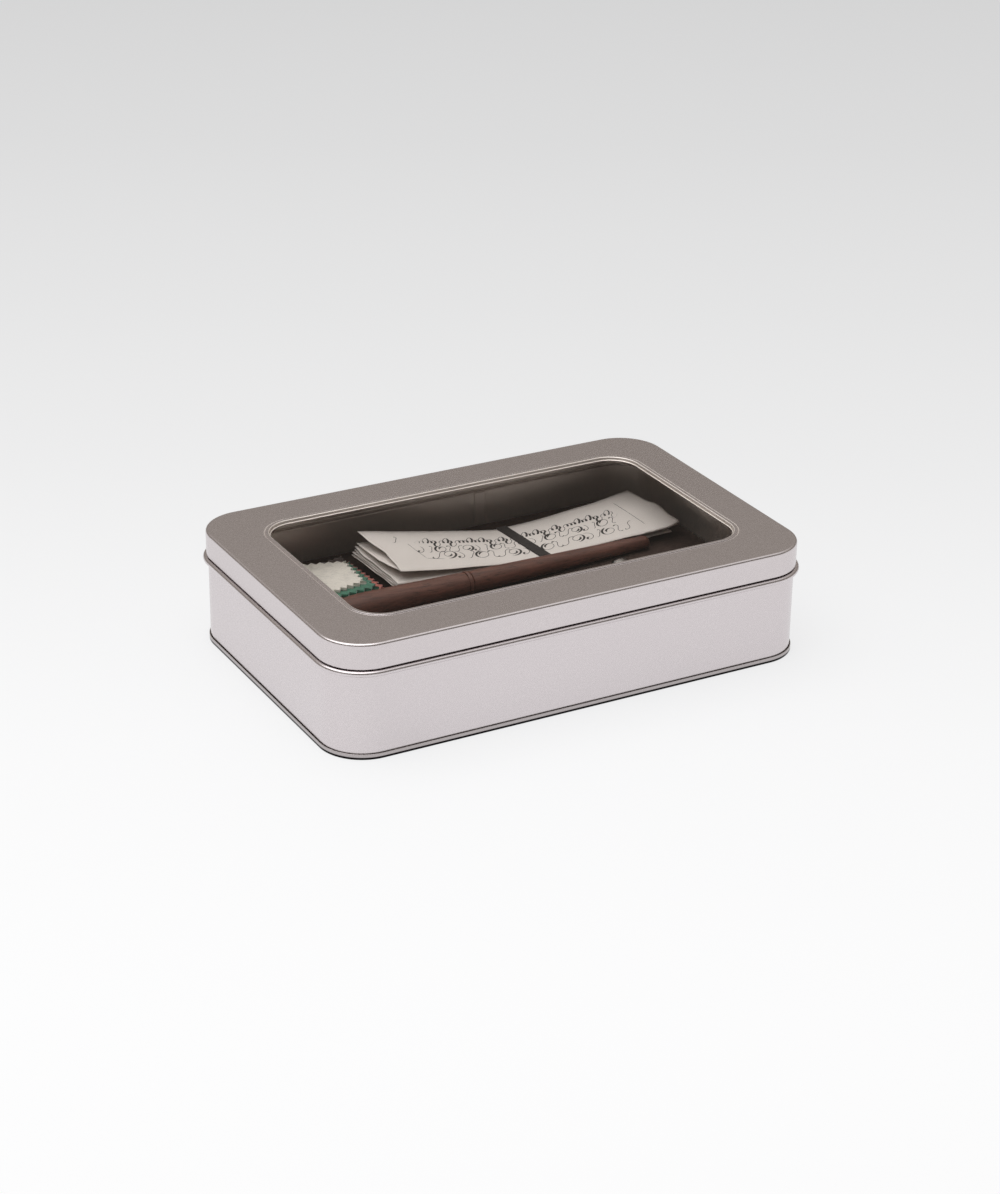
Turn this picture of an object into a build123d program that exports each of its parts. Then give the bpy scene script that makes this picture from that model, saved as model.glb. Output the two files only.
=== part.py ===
"""Calligraphy set in a slip-lid tin with a window: the tin, its insert and the writing things in it.

Frame: +X along the long side, -Y towards the front, +Z up.
The origin is the middle of the underside, on the surface that the tin stands on. Millimetres.
"""
from build123d import *
from math import asin, cos, degrees, radians, sin
import os

# ---- tin: outside sizes ----
LID_LENGTH = 200.0        # lid, outside, along X
LID_WIDTH = 130.0         # lid, outside, along Y
TIN_HEIGHT = 45.0         # underside to the top of the lid's panel
CORNER_RADIUS = 17.5      # lid skirt, outside
SHEET = 0.3               # tinplate thickness
LID_DEPTH = 9.2           # lid panel's top down to the skirt's edge
LID_EDGE_ROUND = 1.2      # rounding between the lid's panel and skirt
LID_HEM = 0.35            # extra thickness where the skirt's edge is folded inwards
LID_HEM_HEIGHT = 1.8
LID_CLEARANCE = 0.35      # lid hem to neck, lid edge to stop bead
NECK_STEP = 0.27          # how far the neck stands in from the wall below it
BEAD_OUT = 2.0            # stop bead, how far it stands out from the wall
BEAD_HEIGHT = 2.2
CURL_RADIUS = 0.55        # rolled edge at the top of the neck
CURL_TOP_GAP = 0.5        # rolled edge to the underside of the lid's panel

# ---- bottom seam ----
SEAM_HEIGHT = 2.25
SEAM_OUT = 0.55           # how far the seam stands out from the wall
SEAM_FIT = 0.03           # play between the folded layers
SEAM_ROUND = 0.2
HOOK_HEIGHT = 1.6         # part of the wall that is folded up inside the seam
BASE_RECESS = 2.0         # height of the bottom panel's underside

# ---- lock seam, where the wall's two ends meet at the back ----
LOCK_SEAM_X = 25.4
LOCK_SEAM_WIDTH = 5.0
LOCK_SEAM_THICKNESS = 0.35

# ---- window ----
WINDOW_LENGTH = 160.0
WINDOW_WIDTH = 90.0
WINDOW_RADIUS = 12.0
RIM_WIDTH = 2.0           # raised rim round the window
RIM_HEIGHT = 1.3
PANE_OVERLAP = 8.0        # pane beyond the window on each side
PANE_THICKNESS = 0.3
GLUE_THICKNESS = 0.18
GLUE_WIDTH = 5.0

# ---- raised floor inside the tin ----
FLOOR_TOP = 19.0
CARD = 1.2
CARD_CLEARANCE = 0.6      # card to the tin's wall
REST_GAP = 0.3            # loose things to what they lie on

# ---- sheaf of folded copy sheets ----
SHEET_COUNT = 5
SHEET_THICKNESS = 1.0     # one folded sheet, with the air in it
SHEET_GAP = 0.08
BAND_X = 27.0             # middle of the ribbon, where the sheaf is pinched
BAND_WIDTH = 4.8
BAND_THICKNESS = 0.35
BAND_FIT = 0.1
SHEAF_LEFT = (-35.0, -35.5, -36.0, -37.0, -37.5)      # left ends, lowest sheet first
SHEAF_RIGHT = (83.0, 84.0, 83.5, 84.5, 86.0)
SHEAF_NEAR = (47.77, 47.57, 47.77, 49.07, 49.57)      # front edges, from the back wall's inside
SHEAF_FAR = (17.17, 16.97, 17.47, 17.97, 18.97)       # back edges, likewise
LEFT_RISE = (1.6, 3.2, 5.0, 7.2, 9.7)                 # how far the left ends curl up
RIGHT_RISE = (0.8, 1.2, 1.7, 2.4, 3.4)
LEFT_BEND = 1.25          # power of the curl: 1 is a straight slope
RIGHT_BEND = 2.2

# ---- penholder, from the grip's end (0) to the tail ----
PEN_LENGTH = 143.0
PEN_GRIP_X = -68.0        # where the grip's end lies
PEN_CROSSING = 56.07      # from the back wall's inside to the pen's axis, at X = 0
PEN_YAW = 3.8             # degrees from the X axis
GRIP_RADIUS = 5.45
GRIP_END_RADIUS = 4.7
TAIL_RADIUS = 2.65
GRIP_AT = 14.0            # fullest part of the grip
GRIP_END_SLOPE = 0.12     # radius gained per length at the grip's end
RING_AT = 60.4            # turned ring between two grooves
RING_WIDTH = 1.7
RING_RISE = 0.2
GROOVE_WIDTH = 0.9
GROOVE_DEPTH = 0.5
FERRULE_RADIUS = 3.85
FERRULE_WALL = 0.3
FERRULE_LENGTH = 14.0
FERRULE_LIP = 1.4         # part of the ferrule that stands out of the wood
FERRULE_FIT = 0.03
NIB_FIT = 0.12            # nib to ferrule, and nib to prongs

# ---- nibs ----
NIB_LENGTH = 29.0
NIB_HEEL_LENGTH = 13.0
NIB_STOCK = 0.25
NIB_INSERTED = 9.0
NIB_HOLE_RADIUS = 0.7
NIB_SLIT = 0.14
NIB_TIP_WIDTH = 0.5
SPARE_NIB_X = 54.6
SPARE_NIB_HEEL = 61.97    # from the back wall's inside to its heel

# ---- felt pen wiper ----
FELT_THICKNESS = 1.4
FELT_GAP = 0.05
THREAD_RADIUS = 0.5
THREAD_FIT = 0.1
THREAD_X = -63.0
THREAD_BACK = 29.97       # from the back wall's inside to the stitch
THREAD_SPACING = 5.0      # between the two stitches

# ---- ink bottle ----
BOTTLE_X = -48.0
BOTTLE_GAP = 0.67         # bottle to the card strip at the front
BOTTLE_RADIUS = 15.0
BOTTLE_WALL = 1.8
BOTTLE_SHOULDER = 17.5    # height of the shoulder's lower edge
BOTTLE_ROUND = 3.0
BOTTLE_BASE_ROUND = 1.2
NECK_RADIUS = 7.2
NECK_WALL = 1.9
BOTTLE_MOUTH = 29.4       # height of the neck's top
THREAD_PITCH = 3.0
THREAD_RISE = 0.6         # height of the glass thread's ridge
BOTTLE_HOLE_CLEARANCE = 0.5
CAP_RADIUS = 9.5
CAP_WALL = 1.45
CAP_TOP = 1.3
CAP_FOOT_GAP = 0.4        # cap's lower edge to the bottle's shoulder
CAP_ROUND = 0.8
CAP_RIBS = 48
CAP_RIB_RADIUS = 0.28
LINER_THICKNESS = 1.0
CAP_FIT = 0.1
INK_LEVEL = 13.5
INK_FIT = 0.05
LABEL_FIT = 0.03
LABEL_THICKNESS = 0.12
LABEL_HEIGHT = 13.0
LABEL_BOTTOM = 3.4
LABEL_ARC = 250.0         # degrees of the bottle that it covers
FRONT = -90.0             # direction that the label's middle faces, in degrees from +X

# ---- places worked out from the sizes ----
WALL_INSET = SHEET + LID_HEM + LID_CLEARANCE - NECK_STEP     # lid's outside to the wall's outside
PANEL_UNDER = TIN_HEIGHT - SHEET
LID_EDGE = TIN_HEIGHT - LID_DEPTH
BEAD_TOP = LID_EDGE - LID_CLEARANCE
NECK_TOP = PANEL_UNDER - CURL_TOP_GAP
PANE_TOP = PANEL_UNDER - GLUE_THICKNESS
BASE_TOP = BASE_RECESS + SHEET
BACK_WALL = LID_WIDTH / 2 - WALL_INSET - SHEET
THREAD_Y = BACK_WALL - THREAD_BACK
BOTTLE_Y = CARD_CLEARANCE + CARD + BOTTLE_GAP + BOTTLE_RADIUS - BACK_WALL
LIE = FLOOR_TOP + REST_GAP           # underside of everything that lies on the raised floor
SHEAF_FIRST = LIE + BAND_THICKNESS + BAND_FIT


def inset_plate(inset, bottom, top):
    """Upright block with the tin's rounded outline, set in from the lid's outside."""
    outline = RectangleRounded(LID_LENGTH - 2 * inset, LID_WIDTH - 2 * inset, CORNER_RADIUS - inset)
    return Pos(0, 0, bottom) * extrude(outline, top - bottom)


def outline_path(length, width, radius):
    """Closed rounded rectangle in the XY plane, from the middle of the front side."""
    a, b = length / 2, width / 2
    corners = [(a, -b), (a, b), (-a, b), (-a, -b)]
    path = []
    here = (0, -b)
    for i, (cx, cy) in enumerate(corners):
        sx, sy = (1 if cx > 0 else -1), (1 if cy > 0 else -1)
        centre = (cx - sx * radius, cy - sy * radius)
        if i % 2 == 0:
            start, end = (centre[0], cy), (cx, centre[1])
        else:
            start, end = (cx, centre[1]), (centre[0], cy)
        middle = (centre[0] + sx * radius * sin(radians(45)), centre[1] + sy * radius * sin(radians(45)))
        path += [Line(here, start), ThreePointArc(start, middle, end)]
        here = end
    path.append(Line(here, (0, -b)))
    return Wire(path)


def swept_round(edges, length, width, radius):
    """Sweep a closed section round a rounded rectangle. Section: X outwards from the path, Y up."""
    section = make_face(edges)
    start = Plane(origin=(0, -width / 2, 0), x_dir=(0, -1, 0), z_dir=(-1, 0, 0))
    return sweep(start * section, path=outline_path(length, width, radius))


def body_wall():
    """Rolled strip: folded hook at the foot, straight wall, stop bead, neck and rolled edge."""
    foot = SHEET + SEAM_FIT
    hook_out = SEAM_OUT - SHEET - SEAM_FIT
    bead_radius = BEAD_HEIGHT / 2
    bead_foot = BEAD_TOP - BEAD_HEIGHT
    bead_middle = BEAD_TOP - bead_radius
    run = BEAD_OUT - bead_radius
    inner_radius = bead_radius - SHEET
    neck_in = -NECK_STEP - SHEET
    curl_middle = NECK_TOP - CURL_RADIUS
    curl_end = -NECK_STEP - 2 * CURL_RADIUS
    edges = [
        Polyline((-SHEET, foot), (hook_out, foot), (hook_out, foot + HOOK_HEIGHT), (0, foot + HOOK_HEIGHT),
                 (0, bead_foot), (run, bead_foot)),
        ThreePointArc((run, bead_foot), (run + bead_radius, bead_middle), (run, BEAD_TOP)),
        Polyline((run, BEAD_TOP), (-NECK_STEP, BEAD_TOP), (-NECK_STEP, curl_middle)),
        ThreePointArc((-NECK_STEP, curl_middle), ((curl_end - NECK_STEP) / 2, NECK_TOP),
                      (curl_end, curl_middle)),
        Polyline((curl_end, curl_middle), (neck_in, curl_middle - CURL_RADIUS), (neck_in, BEAD_TOP - SHEET),
                 (run, BEAD_TOP - SHEET)),
        ThreePointArc((run, BEAD_TOP - SHEET), (run + inner_radius, bead_middle), (run, bead_foot + SHEET)),
        Polyline((run, bead_foot + SHEET), (-SHEET, bead_foot + SHEET), (-SHEET, foot)),
    ]
    length, width = LID_LENGTH - 2 * WALL_INSET, LID_WIDTH - 2 * WALL_INSET
    wall = swept_round(edges, length, width, CORNER_RADIUS - WALL_INSET)
    inside_y = width / 2 - SHEET
    seam_foot = BASE_TOP + SEAM_FIT
    seam_height = bead_foot - seam_foot
    fold = Box(LOCK_SEAM_WIDTH, LOCK_SEAM_THICKNESS + SHEET / 2, seam_height)
    seat = Pos(LOCK_SEAM_X, inside_y + (SHEET / 2 - LOCK_SEAM_THICKNESS) / 2, seam_foot + seam_height / 2)
    return wall + seat * fold


def base_plate():
    """Recessed bottom panel whose edge is folded up round the foot of the wall."""
    outer = inset_plate(WALL_INSET - SEAM_OUT, 0, SEAM_HEIGHT)
    outer = fillet(outer.edges().filter_by(Plane.XY), SEAM_ROUND)
    slot_out = WALL_INSET - SEAM_OUT + SHEET
    slot_in = WALL_INSET + SHEET + SEAM_FIT
    slot = inset_plate(slot_out, SHEET, SEAM_HEIGHT) - inset_plate(slot_in, SHEET, SEAM_HEIGHT)
    recess = inset_plate(slot_in + SHEET, 0, BASE_RECESS)
    return outer - slot + inset_plate(slot_in, BASE_RECESS, BASE_TOP) - recess


def lid_shell():
    """Slip lid: panel with a raised rolled rim round the window, skirt with a folded edge."""
    outer = inset_plate(0, LID_EDGE, TIN_HEIGHT)
    outer = fillet(outer.edges().group_by(Axis.Z)[-1], LID_EDGE_ROUND)
    inner = inset_plate(SHEET, LID_EDGE, PANEL_UNDER)
    inner = fillet(inner.edges().group_by(Axis.Z)[-1], LID_EDGE_ROUND - SHEET)
    hem = inset_plate(SHEET, LID_EDGE, LID_EDGE + LID_HEM_HEIGHT)
    hem -= inset_plate(SHEET + LID_HEM, LID_EDGE, LID_EDGE + LID_HEM_HEIGHT)
    window = Pos(0, 0, PANEL_UNDER - SHEET) * extrude(
        RectangleRounded(WINDOW_LENGTH, WINDOW_WIDTH, WINDOW_RADIUS), RIM_HEIGHT + 3 * SHEET)
    arch = RIM_WIDTH / 2
    shoulder = TIN_HEIGHT + RIM_HEIGHT - arch
    edges = [
        Polyline((0, PANEL_UNDER), (0, shoulder)),
        ThreePointArc((0, shoulder), (arch, shoulder + arch), (RIM_WIDTH, shoulder)),
        Polyline((RIM_WIDTH, shoulder), (RIM_WIDTH, PANEL_UNDER), (RIM_WIDTH - SHEET, PANEL_UNDER),
                 (RIM_WIDTH - SHEET, shoulder)),
        ThreePointArc((RIM_WIDTH - SHEET, shoulder), (arch, shoulder + arch - SHEET), (SHEET, shoulder)),
        Polyline((SHEET, shoulder), (SHEET, PANEL_UNDER), (0, PANEL_UNDER)),
    ]
    rim = swept_round(edges, WINDOW_LENGTH, WINDOW_WIDTH, WINDOW_RADIUS)
    under_rim = Pos(0, 0, PANEL_UNDER) * extrude(RectangleRounded(
        WINDOW_LENGTH + 2 * RIM_WIDTH, WINDOW_WIDTH + 2 * RIM_WIDTH, WINDOW_RADIUS + RIM_WIDTH), SHEET)
    return outer - inner + hem - window - under_rim + rim


def pane_outline(margin):
    """Rounded outline that follows the window, further out by a margin."""
    return RectangleRounded(WINDOW_LENGTH + 2 * margin, WINDOW_WIDTH + 2 * margin, WINDOW_RADIUS + margin)


def window_pane():
    """Clear film under the lid's panel."""
    return Pos(0, 0, PANE_TOP - PANE_THICKNESS) * extrude(pane_outline(PANE_OVERLAP), PANE_THICKNESS)


def pane_adhesive():
    """Ring of adhesive between the film and the panel."""
    ring = pane_outline(PANE_OVERLAP) - pane_outline(PANE_OVERLAP - GLUE_WIDTH)
    return Pos(0, 0, PANE_TOP) * extrude(ring, GLUE_THICKNESS)


def riser_wall():
    """Strip of card on edge that holds the raised floor up."""
    inset = WALL_INSET + SHEET + CARD_CLEARANCE
    top = FLOOR_TOP - CARD
    return inset_plate(inset, BASE_TOP, top) - inset_plate(inset + CARD, BASE_TOP, top)


def riser_top():
    """Raised floor with a round hole that the ink bottle stands in."""
    plate = inset_plate(WALL_INSET + SHEET + CARD_CLEARANCE, FLOOR_TOP - CARD, FLOOR_TOP)
    hole = Cylinder(BOTTLE_RADIUS + BOTTLE_HOLE_CLEARANCE, 3 * CARD)
    return plate - Pos(BOTTLE_X, BOTTLE_Y, FLOOR_TOP) * hole


def sheet_height(number, x):
    """Underside of one sheet: flat under the ribbon, curling up towards both ends."""
    height = SHEAF_FIRST + number * (SHEET_THICKNESS + SHEET_GAP)
    if x < BAND_X - BAND_WIDTH:
        reach = (BAND_X - BAND_WIDTH - x) / (BAND_X - BAND_WIDTH - SHEAF_LEFT[number])
        return height + LEFT_RISE[number] * reach ** LEFT_BEND
    if x > BAND_X + BAND_WIDTH:
        reach = (x - BAND_X - BAND_WIDTH) / (SHEAF_RIGHT[number] - BAND_X - BAND_WIDTH)
        return height + RIGHT_RISE[number] * reach ** RIGHT_BEND
    return height


def copy_sheet(number):
    """One folded sheet of the sheaf, a curled slab."""
    left, right = SHEAF_LEFT[number], SHEAF_RIGHT[number]
    left_knots = [left + (BAND_X - BAND_WIDTH - left) * k / 4 for k in range(5)]
    right_knots = [BAND_X + BAND_WIDTH + (right - BAND_X - BAND_WIDTH) * k / 4 for k in range(5)]
    under = [(x, sheet_height(number, x)) for x in left_knots + right_knots]
    over = [(x, z + SHEET_THICKNESS) for x, z in under]
    ends = [Line(under[-1], over[-1]), Line(over[0], under[0])]
    section = make_face([Spline(*under), Spline(*over[::-1]), *ends])
    far = BACK_WALL - SHEAF_FAR[number]
    depth = SHEAF_NEAR[number] - SHEAF_FAR[number]
    return extrude(Plane(origin=(0, far, 0), x_dir=(1, 0, 0), z_dir=(0, -1, 0)) * section, depth)


def sheaf_band():
    """Ribbon right round the sheaf, flat above and below it."""
    near = BACK_WALL - max(SHEAF_NEAR) - BAND_FIT
    far = BACK_WALL - min(SHEAF_FAR) + BAND_FIT
    low = SHEAF_FIRST - BAND_FIT
    high = sheet_height(SHEET_COUNT - 1, BAND_X) + SHEET_THICKNESS + BAND_FIT
    width, height = far - near, high - low
    loop = RectangleRounded(width + 2 * BAND_THICKNESS, height + 2 * BAND_THICKNESS, 2 * BAND_THICKNESS)
    loop -= RectangleRounded(width, height, BAND_THICKNESS)
    middle = Plane(origin=(BAND_X, (near + far) / 2, (low + high) / 2), x_dir=(0, 1, 0), z_dir=(1, 0, 0))
    return extrude(middle * loop, BAND_WIDTH / 2, both=True)


def pen_tilt():
    """Slope of the pen's axis when its grip and its tail both lie on the raised floor."""
    return asin((GRIP_RADIUS - TAIL_RADIUS) / (PEN_LENGTH - TAIL_RADIUS - GRIP_AT))


def cone_radius(along):
    """Radius of the shaft's straight taper, which runs from the grip to the tail."""
    share = (along - GRIP_AT) / (PEN_LENGTH - TAIL_RADIUS - GRIP_AT)
    return GRIP_RADIUS - (GRIP_RADIUS - TAIL_RADIUS) * share


def pen_plane():
    """Plane at the grip's end: X along the pen towards its tail, Z upwards."""
    yaw, tilt = radians(PEN_YAW), pen_tilt()
    along = (cos(yaw) * cos(tilt), sin(yaw) * cos(tilt), -sin(tilt))
    upward = (cos(yaw) * sin(tilt), sin(yaw) * sin(tilt), cos(tilt))
    y = BACK_WALL - PEN_CROSSING + PEN_GRIP_X * sin(yaw) / cos(yaw)
    z = LIE + GRIP_RADIUS / cos(tilt) + GRIP_AT * sin(tilt)
    return Plane(origin=(PEN_GRIP_X, y, z), x_dir=along, z_dir=upward)


def turned(edges):
    """Turn an outline drawn as (distance along, radius) about the X axis."""
    return revolve(make_face(edges), Axis.X)


def penholder_shaft():
    """Turned wooden shaft: full grip, ring between two grooves, long taper to a round tail."""
    ring_start = RING_AT - RING_WIDTH / 2
    ring_end = RING_AT + RING_WIDTH / 2
    ring_edge = cone_radius(RING_AT)
    groove_radius = ring_edge - GROOVE_DEPTH
    bore = FERRULE_RADIUS + FERRULE_FIT
    depth = FERRULE_LENGTH - FERRULE_LIP
    tail_start = PEN_LENGTH - TAIL_RADIUS
    before, after = ring_start - GROOVE_WIDTH, ring_end + GROOVE_WIDTH
    edges = [
        Polyline((depth, 0), (depth, bore), (0, bore), (0, GRIP_END_RADIUS)),
        Spline((0, GRIP_END_RADIUS), (GRIP_AT, GRIP_RADIUS),
               tangents=[(1, GRIP_END_SLOPE), (1, cone_radius(1) - cone_radius(0))]),
        Polyline((GRIP_AT, GRIP_RADIUS), (before, cone_radius(before)), (before, groove_radius),
                 (ring_start, groove_radius), (ring_start, ring_edge)),
        ThreePointArc((ring_start, ring_edge), (RING_AT, ring_edge + RING_RISE), (ring_end, ring_edge)),
        Polyline((ring_end, ring_edge), (ring_end, groove_radius), (after, groove_radius),
                 (after, cone_radius(after)), (tail_start, TAIL_RADIUS)),
        ThreePointArc((tail_start, TAIL_RADIUS),
                      (tail_start + TAIL_RADIUS * sin(radians(45)), TAIL_RADIUS * cos(radians(45))),
                      (PEN_LENGTH, 0)),
        Line((PEN_LENGTH, 0), (depth, 0)),
    ]
    return pen_plane() * turned(edges)


def ferrule():
    """Steel tube let into the grip, its lip standing out of the wood."""
    tube = Cylinder(FERRULE_RADIUS, FERRULE_LENGTH) - Cylinder(FERRULE_RADIUS - FERRULE_WALL, FERRULE_LENGTH)
    return pen_plane() * (Pos(FERRULE_LENGTH / 2 - FERRULE_LIP, 0, 0) * Rot(0, 90, 0) * tube)


def nib_radius():
    """Outside radius of a nib's heel, which slides into the ferrule."""
    return FERRULE_RADIUS - FERRULE_WALL - NIB_FIT


def ferrule_prongs():
    """Inner split sleeve that presses the nib's heel outwards, closed at the back."""
    outer = nib_radius() - NIB_STOCK - NIB_FIT
    depth = FERRULE_LENGTH - FERRULE_LIP
    sleeve = Cylinder(outer, depth) - Pos(0, 0, -FERRULE_WALL) * Cylinder(outer - FERRULE_WALL, depth)
    slot = Box(2 * FERRULE_WALL, 3 * outer, depth)
    slots = Pos(0, 0, -2 * FERRULE_WALL) * (slot + Rot(0, 0, 90) * slot)
    rim = Cylinder(FERRULE_RADIUS - FERRULE_WALL, FERRULE_WALL) - Cylinder(outer / 2, FERRULE_WALL)
    rim = Pos(0, 0, depth / 2 - FERRULE_WALL / 2) * rim
    return pen_plane() * (Pos(depth / 2, 0, 0) * Rot(0, 90, 0) * (sleeve - slots + rim))


def nib_blank():
    """A nib along X: heel end at 0, point at minus its length, bowed upwards."""
    radius = nib_radius()
    shell = Cylinder(radius, NIB_LENGTH) - Cylinder(radius - NIB_STOCK, NIB_LENGTH)
    shell = Pos(-NIB_LENGTH / 2, 0, 0) * Rot(0, 90, 0) * shell
    top_half = Pos(-NIB_LENGTH / 2, 0, radius) * Box(NIB_LENGTH, 2 * radius, 2 * radius)
    waist = -NIB_HEEL_LENGTH
    half_tip = NIB_TIP_WIDTH / 2
    side = [(0, radius + 1), (waist, radius + 1)]
    plan = make_face([
        Polyline(*side),
        Spline(side[-1], ((waist - NIB_LENGTH) / 2, 0.55 * radius), (-NIB_LENGTH, half_tip)),
        Line((-NIB_LENGTH, half_tip), (-NIB_LENGTH, -half_tip)),
        Spline((-NIB_LENGTH, -half_tip), ((waist - NIB_LENGTH) / 2, -0.55 * radius), (waist, -radius - 1)),
        Polyline((waist, -radius - 1), (0, -radius - 1), (0, radius + 1)),
    ])
    blade = shell & top_half & extrude(plan, 2 * radius)
    hole_x = waist - 1
    hole = Pos(hole_x, 0, radius) * Cylinder(NIB_HOLE_RADIUS, 2 * radius)
    slit_length = NIB_LENGTH + hole_x
    slit = Pos(hole_x - slit_length / 2, 0, radius) * Box(slit_length + 1, NIB_SLIT, 2 * radius)
    return blade - hole - slit


def nib():
    """The nib in the penholder."""
    return pen_plane() * (Pos(NIB_INSERTED - FERRULE_LIP, 0, 0) * nib_blank())


def spare_nib():
    """A loose nib on the raised floor, its point towards the front."""
    return Pos(SPARE_NIB_X, BACK_WALL - SPARE_NIB_HEEL, LIE) * Rot(0, 0, 90) * nib_blank()


# wiper patches, lowest first: near right, far right, far left, near left, from the stitch's middle
WIPER_PATCHES = {
    "felt_brown": ((22.5, -17.0), (24.0, 24.5), (-17.0, 26.5), (-17.5, -19.5)),
    "felt_red": ((24.8, -14.3), (23.5, 16.5), (-16.0, 23.5), (-15.0, -17.5)),
    "felt_green": ((20.9, -13.7), (19.8, 14.0), (-13.0, 20.5), (-13.5, -17.0)),
    "felt_white": ((16.8, -9.4), (17.8, 8.8), (-10.5, 17.0), (-10.5, -15.5)),
}


def felt_patch(name):
    """One flat patch of felt with two stitch holes."""
    number = list(WIPER_PATCHES).index(name)
    outline = make_face(Polyline(*WIPER_PATCHES[name], close=True))
    low = LIE + number * (FELT_THICKNESS + FELT_GAP)
    patch = Pos(THREAD_X, THREAD_Y, low) * extrude(outline, FELT_THICKNESS)
    holes = Cylinder(THREAD_RADIUS + THREAD_FIT, TIN_HEIGHT)
    for side in (-1, 1):
        patch -= Pos(THREAD_X, THREAD_Y + side * THREAD_SPACING / 2, LIE) * holes
    return patch


def wiper_thread():
    """Stitch that holds the patches together: two legs and the bar across the top."""
    top = LIE + len(WIPER_PATCHES) * (FELT_THICKNESS + FELT_GAP)
    leg = Cylinder(THREAD_RADIUS, top - LIE)
    middle = Pos(THREAD_X, THREAD_Y, (top + LIE) / 2)
    legs = middle * (Pos(0, THREAD_SPACING / 2, 0) * leg + Pos(0, -THREAD_SPACING / 2, 0) * leg)
    bar = Box(2 * THREAD_RADIUS, THREAD_SPACING + 2 * THREAD_RADIUS, 2 * THREAD_RADIUS)
    return legs + Pos(THREAD_X, THREAD_Y, top + THREAD_RADIUS) * bar


BOTTLE_PLACE = Pos(BOTTLE_X, BOTTLE_Y, BASE_TOP + REST_GAP)


def lathe(edges):
    """Turn an outline drawn as (radius, height) about the Z axis."""
    return revolve(Plane.XZ * make_face(edges), Axis.Z)


def ink_bottle():
    """Round glass bottle with a threaded neck."""
    ledge = BOTTLE_SHOULDER + BOTTLE_ROUND
    inside = BOTTLE_RADIUS - BOTTLE_WALL
    throat = NECK_RADIUS - NECK_WALL
    half = sin(radians(45))
    base = BOTTLE_BASE_ROUND
    edges = [
        Line((0, 0), (BOTTLE_RADIUS - base, 0)),
        ThreePointArc((BOTTLE_RADIUS - base, 0),
                      (BOTTLE_RADIUS - base * (1 - half), base * (1 - half)), (BOTTLE_RADIUS, base)),
        Line((BOTTLE_RADIUS, base), (BOTTLE_RADIUS, BOTTLE_SHOULDER)),
        ThreePointArc((BOTTLE_RADIUS, BOTTLE_SHOULDER),
                      (BOTTLE_RADIUS - BOTTLE_ROUND * (1 - half), ledge - BOTTLE_ROUND * (1 - half)),
                      (BOTTLE_RADIUS - BOTTLE_ROUND, ledge)),
        Polyline((BOTTLE_RADIUS - BOTTLE_ROUND, ledge), (NECK_RADIUS, ledge), (NECK_RADIUS, BOTTLE_MOUTH),
                 (throat, BOTTLE_MOUTH), (throat, ledge - BOTTLE_WALL),
                 (inside - BOTTLE_ROUND, ledge - BOTTLE_WALL), (inside, BOTTLE_SHOULDER - BOTTLE_WALL),
                 (inside, BOTTLE_WALL), (0, BOTTLE_WALL), (0, 0)),
    ]
    bottle = lathe(edges)
    turns_height = BOTTLE_MOUTH - ledge - 2 * THREAD_PITCH / 3
    path = Pos(0, 0, ledge + THREAD_PITCH / 3) * Helix(THREAD_PITCH, turns_height, NECK_RADIUS)
    base_half = THREAD_PITCH / 4
    section = Plane(origin=path @ 0, z_dir=path % 0, x_dir=(1, 0, 0)) * make_face(Polyline(
        (-NECK_WALL / 3, -base_half), (THREAD_RISE, -base_half / 3), (THREAD_RISE, base_half / 3),
        (-NECK_WALL / 3, base_half), close=True))
    return BOTTLE_PLACE * (bottle + sweep(section, path=path, is_frenet=True))


def ink():
    """Ink in the bottle."""
    radius = BOTTLE_RADIUS - BOTTLE_WALL - INK_FIT
    low = BOTTLE_WALL + INK_FIT
    return BOTTLE_PLACE * Pos(0, 0, (low + INK_LEVEL) / 2) * Cylinder(radius, INK_LEVEL - low)


def bottle_label():
    """Bare paper label round most of the bottle."""
    inner = BOTTLE_RADIUS + LABEL_FIT
    outer = inner + LABEL_THICKNESS
    start = FRONT - LABEL_ARC / 2
    inside = CenterArc((0, 0), inner, start, LABEL_ARC)
    outside = CenterArc((0, 0), outer, start, LABEL_ARC)
    strip = make_face([inside, Line(inside @ 1, outside @ 1), outside, Line(inside @ 0, outside @ 0)])
    return BOTTLE_PLACE * Pos(0, 0, LABEL_BOTTOM) * extrude(strip, LABEL_HEIGHT)


def cap_liner():
    """Soft disc in the cap that seals the bottle's mouth."""
    radius = CAP_RADIUS - CAP_WALL - CAP_FIT
    middle = BOTTLE_MOUTH + CAP_FIT + LINER_THICKNESS / 2
    return BOTTLE_PLACE * Pos(0, 0, middle) * Cylinder(radius, LINER_THICKNESS)


def bottle_cap():
    """Screw cap with a ribbed side."""
    under_top = BOTTLE_MOUTH + 2 * CAP_FIT + LINER_THICKNESS
    top = under_top + CAP_TOP
    foot = BOTTLE_SHOULDER + BOTTLE_ROUND + CAP_FOOT_GAP
    height = top - foot
    cap = Pos(0, 0, foot + height / 2) * Cylinder(CAP_RADIUS, height)
    cap = fillet(cap.edges().group_by(Axis.Z)[-1], CAP_ROUND)
    rib = Pos(CAP_RADIUS, 0, foot + height / 2) * Cylinder(CAP_RIB_RADIUS, height - 2 * CAP_ROUND)
    cap -= [Rot(0, 0, 360 * k / CAP_RIBS) * rib for k in range(CAP_RIBS)]
    cap -= Pos(0, 0, (foot + under_top) / 2) * Cylinder(CAP_RADIUS - CAP_WALL, under_top - foot)
    return BOTTLE_PLACE * cap


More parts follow.
